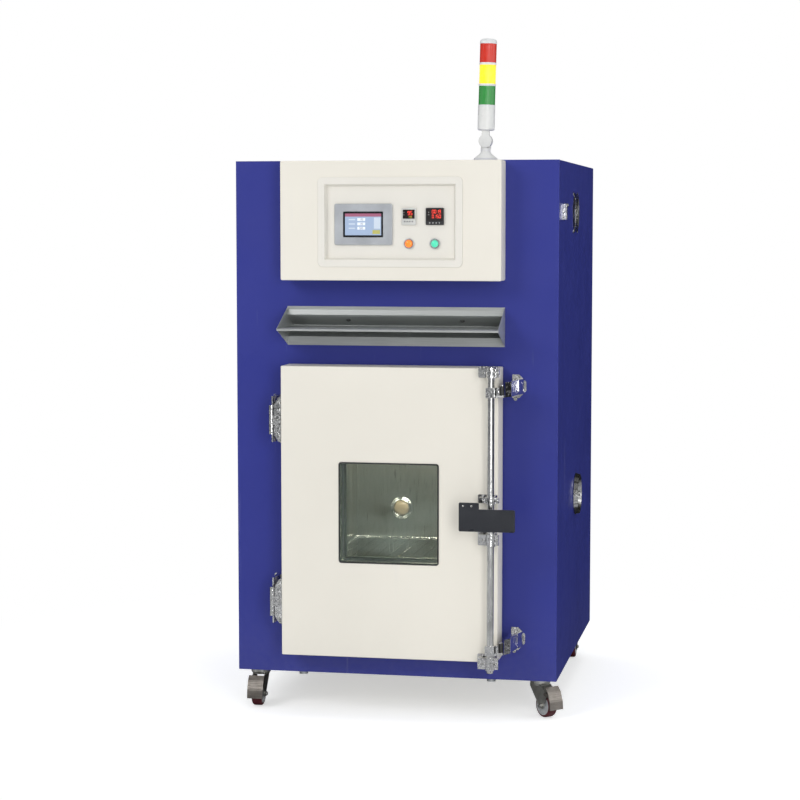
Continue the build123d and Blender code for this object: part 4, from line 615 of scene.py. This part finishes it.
def skinned(rows, steps, closed=False):
    """The faces between circles of points, each joined to the next."""
    faces = []
    for row in range(rows if closed else rows - 1):
        here, there = row * steps, (row + 1) % rows * steps
        for k in range(steps):
            n = (k + 1) % steps
            faces.append((here + k, here + n, there + n, there + k))
    return faces


def turned(profile, centre, axis, steps=40):
    """A profile of (radius, height) turned round the axis; ends at radius 0 close."""
    side, up, along = frame_of(axis)
    verts = []
    for radius, rise in profile:
        verts += circle(Vector(centre) + along * rise, side, up, max(radius, 1e-6), steps)
    return verts, skinned(len(profile), steps)


print("lathe ready")

# %% [markdown]
# ## Cutting
# Windows, digits and pads are flat. A bevelled box would do for some of them, but an outline pushed
# to a thickness gives any shape in one step.


# %% Cut shapes
def cut(outline, centre, thickness, side=TO_RIGHT, up=UP):
    """A flat outline pushed along side x up; unless told, it stands facing the user."""
    side, up = Vector(side), Vector(up)
    push = side.cross(up).normalized() * thickness
    verts = [Vector(centre) + side * x + up * y for x, y in outline]
    verts += [v + push for v in verts]
    n = len(outline)
    faces = [tuple(reversed(range(n))), tuple(range(n, 2 * n))]
    faces += [(k, (k + 1) % n, n + (k + 1) % n, n + k) for k in range(n)]
    return verts, faces


def rounded(width, height, radius, steps=5):
    """The outline of a rectangle with round corners."""
    points = []
    for quarter, (sx, sy) in enumerate(((1, 1), (-1, 1), (-1, -1), (1, -1))):
        for k in range(steps + 1):
            a = (quarter + k / steps) * pi / 2
            centre = (sx * (width / 2 - radius), sy * (height / 2 - radius))
            points.append((centre[0] + radius * cos(a), centre[1] + radius * sin(a)))
    return points


print("saw ready")

# %% [markdown]
# ## Wire
# Guards are bent from round wire. A curve with depth would look the same, but a mesh tube can be
# joined with turned parts, so a circle of points is carried along the path.


# %% Bent wire
def wire(path, radius, steps=10, closed=False):
    """A round wire through the points of a path."""
    points = [Vector(p) for p in path]
    verts, count = [], len(points)
    for i, p in enumerate(points):
        ahead = points[(i + 1) % count] if closed or i < count - 1 else p
        behind = points[i - 1] if closed or i > 0 else p
        side, up, _ = frame_of(ahead - behind)
        verts += circle(p, side, up, radius, steps)
    faces = skinned(count, steps, closed)
    if not closed:
        faces += [tuple(range(steps)), tuple(reversed(range((count - 1) * steps, count * steps)))]
    return verts, faces


print("wire bender ready")

# %% [markdown]
# ## Where things are
# Every place comes from the solid parts, so nothing has to be fitted by eye.

# %% Named places, in metres
casing_low, casing_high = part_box("outer_casing")
face_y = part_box("front_frame")[0].y
back_y, side_x, top_z, base_z = casing_high.y, casing_high.x, casing_high.z, casing_low.z
door_low, door_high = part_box("door_outer_panel")
door_front = door_low.y
door_z = (door_low.z + door_high.z) / 2
print(f"face {face_y:.4f}, door front {door_front:.4f}, top {top_z:.4f}")

# %% [markdown]
# ## Fasteners
# Screws tell how a sheet-metal product is put together, so each visible joint gets its own: a
# domed head with a socket, on a thin washer or bare. They are turned from one profile, and all
# those on one body that share a finish are kept as one mesh.


# %% Screws
def screw_head(place, axis, r, washer):
    foot = [(r * 1.45, 0), (r * 1.45, r * 0.16)] if washer else [(r, 0)]
    dome = [(r, r * 0.17), (r, r * 0.34), (r * 0.93, r * 0.55), (r * 0.74, r * 0.72), (r * 0.50, r * 0.80)]
    socket = [(r * 0.46, r * 0.76), (r * 0.44, r * 0.30), (0, r * 0.28)]
    return turned(foot + dome + socket, place, axis, 18)


def fasteners(name, places, axis, radius, body, finish=screw_steel, washer=True):
    heads = joined([screw_head(place, axis, radius, washer) for place in places])
    return finish_piece(name, heads, finish, body)


LEAF_OUT = 0.0052
hinge_levels = [door_z + s * 0.247 for s in BOTH]
cabinet_leaf_x = middle_of("hinge_leaves_cabinet").x
cabinet_holes = [(cabinet_leaf_x + sx * 0.011, face_y - LEAF_OUT, z + sz * 0.053)
                 for z in hinge_levels for sx in BOTH for sz in BOTH]
fasteners("hinge_screws_cabinet", cabinet_holes, TO_USER, 0.0034, "cabinet")
door_leaf_y = (door_front + 0.002 + face_y - 0.010) / 2
door_holes = [(door_low.x - LEAF_OUT, door_leaf_y + sy * 0.017, z + sz * 0.042)
              for z in hinge_levels for sy in BOTH for sz in BOTH]
fasteners("hinge_screws_door", door_holes, TO_LEFT, 0.0034, "door")
print("hinge screws", len(cabinet_holes) + len(door_holes))

# %% [markdown]
# ## Relief on the hinges
# Cast and plated hardware isn't flat: raised pads stiffen it, and their slopes throw light and dark
# side by side. A sculpted mesh would do, but the pads are simple outlines, so each is cut from its
# outline, set on the plate and given a soft edge. Outlines are in metres from the door's corner.

# %% Raised pads on the door hinges
shoulder = [(-0.002, 0.051), (-0.0085, 0.048), (-0.0168, 0.036),
            (-0.0168, 0.027), (-0.0070, 0.034), (-0.002, 0.041)]
strap = [(-0.003, 0.030), (-0.0090, 0.027), (-0.0165, 0.019),
         (-0.0165, 0.014), (-0.0070, 0.019), (-0.003, 0.022)]
boss = [(-0.003, 0.010), (-0.0100, 0.0135), (-0.0170, 0.008),
        (-0.0170, -0.008), (-0.0100, -0.0135), (-0.003, -0.010)]
outlines = []
for pad in (shoulder, strap):
    outlines += [pad, [(x, -z) for x, z in reversed(pad)]]
outlines.append(boss)
pads = [cut(outline, (door_low.x, door_front + 0.0006, z), 0.0022)
        for z in hinge_levels for outline in outlines]
finish_piece("hinge_relief", joined(pads), chrome, "door", bevel=0.0008)
rivets = [(door_low.x - x, door_front - 0.0008, z + rise) for z in hinge_levels
          for x, rise in ((0.0055, 0.0445), (0.0055, -0.0445), (0.0100, 0.0))]
fasteners("hinge_rivets", rivets, TO_USER, 0.0027, "door", washer=False)
print("hinge pads", len(pads))

# %% [markdown]
# ## Latch and panel screws
# The keepers are screwed to the cabinet, the rod's bearings to the door and the handle to the rod, so
# each set rides on its own body. The rear panel has a row along each edge, at an even pitch.

# %% Screws on the latch
keeper_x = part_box("latch_keepers")[1].x - 0.029
keeper_holes = [(keeper_x, face_y - LEAF_OUT, base_z + level + s * 0.0255)
                for level in (0.107, 0.790) for s in BOTH]
fasteners("keeper_screws", keeper_holes, TO_USER, 0.0036, "cabinet")
rod = middle_of("latch_rod")
bracket_holes = [(rod.x + x, rod.y - 0.003, base_z + level)
                 for level in (0.842, 0.506, 0.401, 0.071) for x in (0.017, -0.019)]
fasteners("bracket_screws", bracket_holes, TO_USER, 0.0030, "door", washer=False)
handle_low, handle_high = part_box("latch_handle")
tab_holes = [(handle_low.x + x, handle_low.y, handle_high.z - 0.0085) for x in (0.012, 0.034)]
fasteners("handle_screws", tab_holes, TO_USER, 0.0032, "latch", washer=False)
print("latch screws", len(keeper_holes) + len(bracket_holes) + len(tab_holes))

# %% Screws on the back and the right wall
RIM = 0.014
rear_rows = [base_z + RIM + k * (top_z - base_z - 2 * RIM) / 6 for k in range(7)]
rear_holes = [(x, back_y, z) for x in (-side_x + RIM, side_x - RIM) for z in rear_rows]
rear_holes += [(x, back_y, z) for x in (-0.22, 0, 0.22) for z in (base_z + RIM, top_z - RIM)]
fasteners("rear_screws", rear_holes, TO_BACK, 0.0040, "cabinet")
fasteners("wall_screw", [(side_x, face_y + 0.185, base_z + 1.281)], TO_RIGHT, 0.0050, "cabinet")
print("rear screws", len(rear_holes))

# %% [markdown]
# ## Visor screws
# Two dark screws hold the visor through the sloping wall of its upper recess. They stand square to
# that slope, so their axis is the slope's own normal, worked out from the slope's two edges.

# %% Visor screws
front_edge = Vector((0, face_y, base_z + 0.981))
back_edge = Vector((0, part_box("vent_visor")[1].y - 0.001, base_z + 0.955))
run = (back_edge - front_edge).normalized()
slope_normal = Vector((0, run.z, -run.y))
screw_line = front_edge.lerp(back_edge, 0.38)
visor_holes = [Vector((x, screw_line.y, screw_line.z)) + slope_normal * 0.0008 for x in (-0.134, 0.180)]
fasteners("visor_screws", visor_holes, slope_normal, 0.0048, "cabinet", dark_screw)
print("visor slope normal", slope_normal)

# %% [markdown]
# ## Numbers on the displays
# The controller and the timer show plain numbers on seven-segment displays. A picture of digits
# would blur close up, so each lit segment is a thin bar of glowing plastic. The digits here are only
# sample readings.


# %% Seven-segment digits
def glowing(name, color, strength, roughness=0.35, fine=900, detail=3.0, low=0.85):
    material, tree, shader, where = new_finish(name, color, roughness, **glow(color, strength))
    tint(tree, shader, grain(tree, where, fine, detail=detail), scaled(color, low), color)
    return material


red_digits = glowing("red_digits", (0.95, 0.05, 0.03), 1.1)
amber_digits = glowing("amber_digits", (0.55, 0.42, 0.05), 0.5)
SEGMENTS = {"0": "abcdef", "1": "bc", "2": "abged", "5": "afgcd", "7": "abc", "9": "abcdfg"}
FLAT, TALL = True, False
BARS = {"a": (0, 1, FLAT), "g": (0, 0, FLAT), "d": (0, -1, FLAT), "f": (-0.5, 0.5, TALL), "b": (0.5, 0.5, TALL),
        "e": (-0.5, -0.5, TALL), "c": (0.5, -0.5, TALL)}


def digits(text, centre, height, thick=0.0002):
    """Each bar's place is in digit widths across and half digit heights up."""
    bars = []
    width, pitch, stroke = height * 0.5, height * 0.72, height * 0.13
    for place, character in enumerate(text):
        x0 = (place - (len(text) - 1) / 2) * pitch
        for key in SEGMENTS[character]:
            bx, bz, flat = BARS[key]
            size = (width * 0.86, stroke) if flat else (stroke, height * 0.43)
            spot = Vector(centre) + Vector((x0 + bx * width, 0, bz * height / 2))
            bars.append(cut(rounded(*size, height * 0.05, 2), spot, thick))
    return joined(bars)


print("digits", sorted(SEGMENTS))

# %% [markdown]
# ## Panel instruments
# Each instrument is a moulded case behind the panel with a dark window, lit numbers and a row of
# small keys; the controller's case is pale and the timer's black. A pair of small marks stands left
# of the numbers.

# %% Controller and timer faces
display_glass = moulded("display_glass", (0.010, 0.006, 0.006), 0.12, 2500, 0.00001, Coat_Weight=0.6)
key_white = moulded("key_white", (0.62, 0.62, 0.60), 0.4, 1600, 0.00004)
key_grey = moulded("key_grey", (0.05, 0.05, 0.06), 0.45, 1600, 0.00004)
KEY_PROFILE = [(0.0015, -0.0005), (0.0015, 0.0005), (0.0012, 0.0009), (0, 0.0010)]


def instrument_face(node, window, rows, key_finish, key_level):
    """A window (left, right, below, above), rows of digits and four keys, all in shares of the face."""
    low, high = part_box(node)
    width, height = high.x - low.x, high.z - low.z
    face = low.y + 0.0002

    def at(across, up, out=0.0):
        return (low.x + width * across, face - out, low.z + height * up)

    left, right, below, above = window
    pane = rounded((right - left) * width, (above - below) * height, 0.001)
    dark = cut(pane, at((left + right) / 2, (below + above) / 2, -0.0010), 0.0012)
    finish_piece(f"{node}_window", dark, display_glass, "cabinet", bevel=0.0002)
    for number, (text, finish, size, up) in enumerate(rows):
        reading = digits(text, at(0.60, up, 0.0002), size)
        finish_piece(f"{node}_row_{number + 1}", reading, finish, "cabinet", False)
    square = rounded(0.0017, 0.0017, 0.0004, 2)
    marks = [cut(square, at(0.17, up, 0.0002), 0.0002) for up in (0.60, 0.74)]
    finish_piece(f"{node}_marks", joined(marks), key_white, "cabinet", False)
    keys = [turned(KEY_PROFILE, at(0.23 + k * 0.18, key_level), TO_USER, 20) for k in range(4)]
    finish_piece(f"{node}_keys", joined(keys), key_finish, "cabinet")
    print(node, "face at", round(face, 4))


instrument_face(
    "temperature_controller", (0.09, 0.93, 0.37, 0.90),
    [("95", red_digits, 0.0095, 0.70), ("170", amber_digits, 0.0050, 0.46)], key_grey, 0.20)
instrument_face(
    "timer", (0.06, 0.94, 0.23, 0.95),
    [("0019", red_digits, 0.0085, 0.78), ("0150", red_digits, 0.0085, 0.50)], key_white, 0.12)

# %% [markdown]
# ## Touch panel
# The touch panel has a black border round a lit screen. A picture on a plane would be quick, but the
# screen needs only plain colour fields and three readings, so each is a film a few hundredths of a
# millimetre thick, laid over the one below it.

# %% Touch panel border
BORDER_W, BORDER_H = 0.1084, 0.0684
SCREEN_W, SCREEN_H = 0.098, 0.0575
FILM = 0.00006
panel_at = middle_of("touch_panel")
panel_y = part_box("touch_panel")[0].y
border_black = moulded("screen_border", (0.012, 0.013, 0.016), 0.22, 2500, 0.00002, Coat_Weight=0.3)
border = cut(rounded(BORDER_W, BORDER_H, 0.002), (panel_at.x, panel_y + 0.0013, panel_at.z), 0.0008)
finish_piece("screen_border", border, border_black, "cabinet", bevel=0.0003)
print("screen", SCREEN_W, "by", SCREEN_H)


# %% Lit fields and readings
def lit(name, color, strength):
    return glowing(f"screen_{name}", color, strength, 0.25, 3000, 1, 0.9)


pale_field = lit("pale", (0.30, 0.38, 0.52), 0.42)
title_field = lit("title", (0.30, 0.10, 0.16), 0.45)
column_field = lit("column", (0.48, 0.54, 0.62), 0.42)
olive_field = lit("olive", (0.42, 0.40, 0.12), 0.35)
white_field = lit("white", (0.70, 0.74, 0.80), 0.40)
ink = lit("ink", (0.03, 0.05, 0.14), 0.1)


def on_screen(across, up, out):
    """A place by its shares of the screen, from the lower left corner."""
    return (panel_at.x + (across - 0.5) * SCREEN_W, panel_y + out, panel_at.z + (up - 0.5) * SCREEN_H)


def field(name, x0, z0, x1, z1, finish, layer=1):
    w, h = (x1 - x0) * SCREEN_W, (z1 - z0) * SCREEN_H
    outline = [(-w / 2, -h / 2), (w / 2, -h / 2), (w / 2, h / 2), (-w / 2, h / 2)]
    film = cut(outline, on_screen((x0 + x1) / 2, (z0 + z1) / 2, 0.0004 - layer * FILM), FILM)
    finish_piece(f"screen_{name}", film, finish, "cabinet", False)


field("ground", 0, 0, 1, 1, pale_field, 0)
field("title_bar", 0, 0.86, 1, 1, title_field)
field("side_column", 0.80, 0.30, 0.98, 0.82, column_field)
field("olive_box", 0.76, 0.06, 0.97, 0.24, olive_field)
for row, reading in enumerate(("170", "170", "025")):
    level = 0.66 - row * 0.20
    field(f"value_{row + 1}", 0.34, level, 0.56, level + 0.13, white_field)
    number = digits(reading, on_screen(0.45, level + 0.065, 0.0002), 0.0046, 0.00008)
    finish_piece(f"screen_number_{row + 1}", number, ink, "cabinet", False)
    field(f"mark_{row + 1}", 0.10, level + 0.03, 0.28, level + 0.09, column_field)
print("screen fields", 4 + 2 * 3)

# %% [markdown]
# ## Push buttons
# Each button is a domed lens in a plated bezel, lit from behind. The solid cap is a plain short
# cylinder, so a domed cap with a moulded ring replaces what shows of it, and a thin rim rounds the
# bezel's edge.

# %% Domed button caps and rims
CAP = ((1, 0.0), (0.97, 0.0012), (0.88, 0.0020), (0.84, 0.0019), (0.78, 0.0022), (0.5, 0.0031), (0.25, 0.0034),
       (0, 0.0035))
RIM_PROFILE = [(0.0104, 0.0), (0.0110, 0.0009), (0.0122, 0.0010), (0.0128, 0.0002)]


def button_cap(node, color, strength):
    low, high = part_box(node)
    r = (high.x - low.x) / 2
    profile = [(r, -0.016)] + [(r * share, rise) for share, rise in CAP]
    front = middle_of(node)
    front.y = low.y + 0.0035
    lens = glowing(f"{node}_lens", color, strength, 0.18)
    cap = finish_piece(f"{node}_cap", turned(profile, front, TO_USER, 48), lens, node)
    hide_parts(node)
    return turned(RIM_PROFILE, (front.x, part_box("button_bezels")[0].y, front.z), TO_USER, 48)


rims = [button_cap("button_power", (1.0, 0.24, 0.035), 0.55), button_cap("button_run", (0.09, 0.70, 0.44), 0.32)]
finish_piece("button_rims", joined(rims), chrome, "cabinet")
print("buttons", len(rims))

# %% [markdown]
# ## Fan guard
# A bought cooling fan is covered by a guard of round steel wire: rings welded on four radial spokes,
# with a loop at each end for its screw. The solid guard has square strips, which is enough for its
# size but looks cut from sheet, so wire of the true round section takes its place.

# %% Wire guard over the cooling fan
WIRE_R = 0.0011
fan = middle_of("fan_guard")
guard_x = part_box("fan_guard")[1].x - 0.0014


def round_fan(x, radius, angle):
    return Vector((x, fan.y + cos(angle) * radius, fan.z + sin(angle) * radius))


def loop(centre, radius, thick, steps):
    angles = [tau * k / steps for k in range(steps)]
    path = [centre + Vector((0, radius * cos(a), radius * sin(a))) for a in angles]
    return wire(path, thick, 8, closed=True)


wires = [loop(Vector((guard_x, fan.y, fan.z)), radius, WIRE_R, 48)
         for radius in (0.0135, 0.0215, 0.0295, 0.0375, 0.0455, 0.0535)]
for quarter in range(4):
    angle = pi / 4 + quarter * pi / 2
    foot = round_fan(side_x + 0.0014, 0.0742, angle)
    rise = round_fan(guard_x - 0.0016, 0.060, angle)
    inner = round_fan(guard_x - 0.0020, 0.0125, angle)
    wires.append(wire([foot, foot.lerp(rise, 0.5), rise, inner], 0.0012, 8))
    wires.append(loop(foot, 0.0045, 0.0012, 20))
disc = [(0.0135, 0), (0.0135, 0.0010), (0.012, 0.0016), (0, 0.0017)]
wires.append(turned(disc, (guard_x - 0.0012, fan.y, fan.z), TO_RIGHT, 32))
guard = finish_piece("wire_guard", joined(wires), chrome, "cabinet")
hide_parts("fan_guard")
fan_holes = [(side_x, fan.y + sy * 0.0525, fan.z + sz * 0.0525) for sy in BOTH for sz in BOTH]
fasteners("fan_screws", fan_holes, TO_RIGHT, 0.0032, "cabinet")
print("guard wires", len(wires))

# %% [markdown]
# ## Chamber lamp
# The lamp is a bright plated ring with a domed glass in it, warm because it is lit. The ring and the
# dome are turned as two pieces, so the glass can glow and the metal can't.

# %% Lamp ring
lamp_low, lamp_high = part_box("chamber_lamp")
lamp_at = middle_of("chamber_lamp")
lamp_at.y = lamp_high.y
lamp_reach = lamp_high.y - lamp_low.y
ring_r = (lamp_high.x - lamp_low.x) / 2
RING = ((1, 0), (1, 0.0030), (0.985, 0.0046), (0.94, 0.0056), (0.90, 0.0056), (0.86, 0.0048), (0.84, 0.0064),
        (0.78, 0.0078), (0.72, 0.0080), (0.67, 0.0070), (0.66, 0.0030), (0.655, 0.0010))
ring = turned([(ring_r * share, rise) for share, rise in RING], lamp_at, TO_USER, 64)
lamp_ring = finish_piece("lamp_ring", ring, chrome, "cabinet")
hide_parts("chamber_lamp")
print("lamp at", lamp_at)

# %% [markdown]
# ## The lamp's glass
# The dome is ribbed glass over a bulb that glows only a little. Clear glass would need a modelled bulb
# behind it; at this size the warm tone and the ribs are enough.

# %% Lamp dome and ring screws
dome_glass, tree, shader, where = new_finish(
    "lamp_dome", (0.80, 0.68, 0.52), 0.22, **glow((1.0, 0.78, 0.52), 0.04))
ribs = grain(tree, where, 700, (1, 1, 1), 2)
bump(tree, shader, ribs, 0.0003, 0.6)
tint(tree, shader, ribs, (0.28, 0.21, 0.13), (0.42, 0.33, 0.21))
DOME = ((0.95, 0.62), (0.82, 0.80), (0.60, 0.92), (0.32, 0.985), (0, 1))
dome_r = ring_r * 0.655
dome_profile = [(dome_r, 0.001), (dome_r, 0.006)] + [(dome_r * share, lamp_reach * rise) for share, rise in DOME]
dome = finish_piece("lamp_dome", turned(dome_profile, lamp_at, TO_USER, 64), dome_glass, "cabinet")
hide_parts("chamber_lamp")
lamp_holes = [lamp_at + Vector((cos(a) * ring_r * 0.92, -0.0052, sin(a) * ring_r * 0.92))
              for a in (pi / 6, pi * 5 / 6, pi * 1.5)]
fasteners("lamp_screws", lamp_holes, TO_USER, 0.0016, "cabinet", washer=False)
print("dome reach", round(lamp_reach, 4))

# %% [markdown]
# ## Signal tower
# A signal tower glows from a ring of diodes on a core inside each lens. Only the yellow lens is lit.
# The core is a plain turned rod on the tower's own axis, which leans with the column, and the foot
# is screwed down.

# %% Light cores and foot screws
CORES = {"lens_green": ((0.10, 0.60, 0.30), 0.02), "lens_yellow": ((1.0, 0.84, 0.16), 2.2),
         "lens_red": ((0.85, 0.08, 0.05), 0.02)}
CORE_PROFILE = [(0.0001, 0), (0.0075, 0.001), (0.0075, 0.038), (0.0001, 0.039)]
tower_axis = (middle_of("lens_red") - middle_of("lens_green")).normalized()
for node, (color, strength) in CORES.items():
    core_finish = glowing(f"{node}_core", color, strength)
    core = turned(CORE_PROFILE, middle_of(node) - tower_axis * 0.020, tower_axis, 24)
    finish_piece(f"{node}_core", core, core_finish, "tower")
foot = middle_of("tower_base")
foot_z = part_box("tower_base")[0].z + 0.0052
fasteners("tower_screws", [(foot.x + s * 0.016, foot.y + s * 0.016, foot_z) for s in BOTH], UP, 0.0026, "cabinet")
print("tower axis", tower_axis)

# %% [markdown]
# ## Inside the window
# The window is a stack of three glass panes with bright spacers between them, which catch the light
# round the opening. A spacer is square aluminium strip bent to the window's outline, so it is a wire
# with four sides.

# %% Pane spacers
pane_low, pane_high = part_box("window_panes")
window_mid = middle_of("window_frame")
opening = pane_high.x - pane_low.x
outline = rounded(opening - 0.004, opening - 0.004, 0.004)
spacers = []
for share in (0.30, 0.62):
    y = pane_low.y + (pane_high.y - pane_low.y) * share
    path = [(window_mid.x + x, y, window_mid.z + z) for x, z in outline]
    spacers.append(wire(path, 0.0022, 4, closed=True))
finish_piece("pane_spacers", joined(spacers), cast_aluminium, "door", False)
print("window opening", round(opening, 4))

# %% [markdown]
# ## Casters
# Each front caster is a pressed zinc fork on a ball race, with a folded brake pedal. The race's
# rolled rim and the axle's nuts give it scale, and the pedal's ribs, which grip the shoe, are bars
# cut across its two outer folds.

# %% Race rims, axle nuts and pedal ribs
RACE = [(0.0235, -0.0085), (0.0262, -0.0080), (0.0272, -0.0065), (0.0272, -0.0035), (0.0255, -0.0016),
        (0.0225, -0.0010)]
NUT = [(0.0066, 0), (0.0066, 0.0038), (0.0058, 0.0046), (0.0036, 0.0048), (0.0034, 0.0066), (0, 0.0070)]
PEDAL_BENDS = ((0.033, 0.040), (0.041, 0.018), (0.0435, -0.004))
RIB_SHARES = ((0.18, 0.50, 0.82), (0.30, 0.70))
rib_outline = rounded(0.036, 0.0036, 0.0016, 3)
joints = {j["name"]: j for j in frame["record"]["behaviour"]["joints"]}


def pedal_ribs(hub, trail, axle):
    """Bars across the pedal, whose folds are given as metres behind and above the axle."""
    ribs = []
    for (x0, z0), (x1, z1), shares in zip(PEDAL_BENDS, PEDAL_BENDS[1:], RIB_SHARES):
        down = (trail * (x1 - x0) + Vector(UP) * (z1 - z0)).normalized()
        out = trail * -down.z + Vector(UP) * down.dot(trail)
        across = axle if axle.cross(down).dot(out) > 0 else -axle
        for share in shares:
            fold = trail * (x0 + (x1 - x0) * share) + Vector(UP) * (z0 + (z1 - z0) * share)
            ribs.append(cut(rib_outline, hub + fold + out * 0.0015, 0.0016, across, down))
    return joined(ribs)


for side_name in ("left", "right"):
    fork = f"caster_fork_{side_name}"
    pivot = Vector(joints[f"caster_{side_name}_swivel"]["pos_m"])
    roll = joints[f"wheel_front_{side_name}_roll"]
    hub, axle = Vector(roll["pos_m"]), Vector(roll["axis"]).normalized()
    rim = turned(RACE, (pivot.x, pivot.y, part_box(fork)[1].z), UP, 48)
    finish_piece(f"race_rim_{side_name}", rim, zinc, fork)
    for sense, letter in zip(BOTH, "ab"):
        nut = turned(NUT, hub + axle * sense * 0.0195, axle * sense, 6)
        finish_piece(f"axle_nut_{side_name}_{letter}", nut, screw_steel, fork, False, bevel=0.0003)
    trail = Vector((hub.x - pivot.x, hub.y - pivot.y, 0)).normalized()
    ribs = pedal_ribs(hub, trail, axle)
    finish_piece(f"pedal_ribs_{side_name}", ribs, pressed_steel, f"brake_pedal_{side_name}", bevel=0.0006)
print("casters dressed", 2)
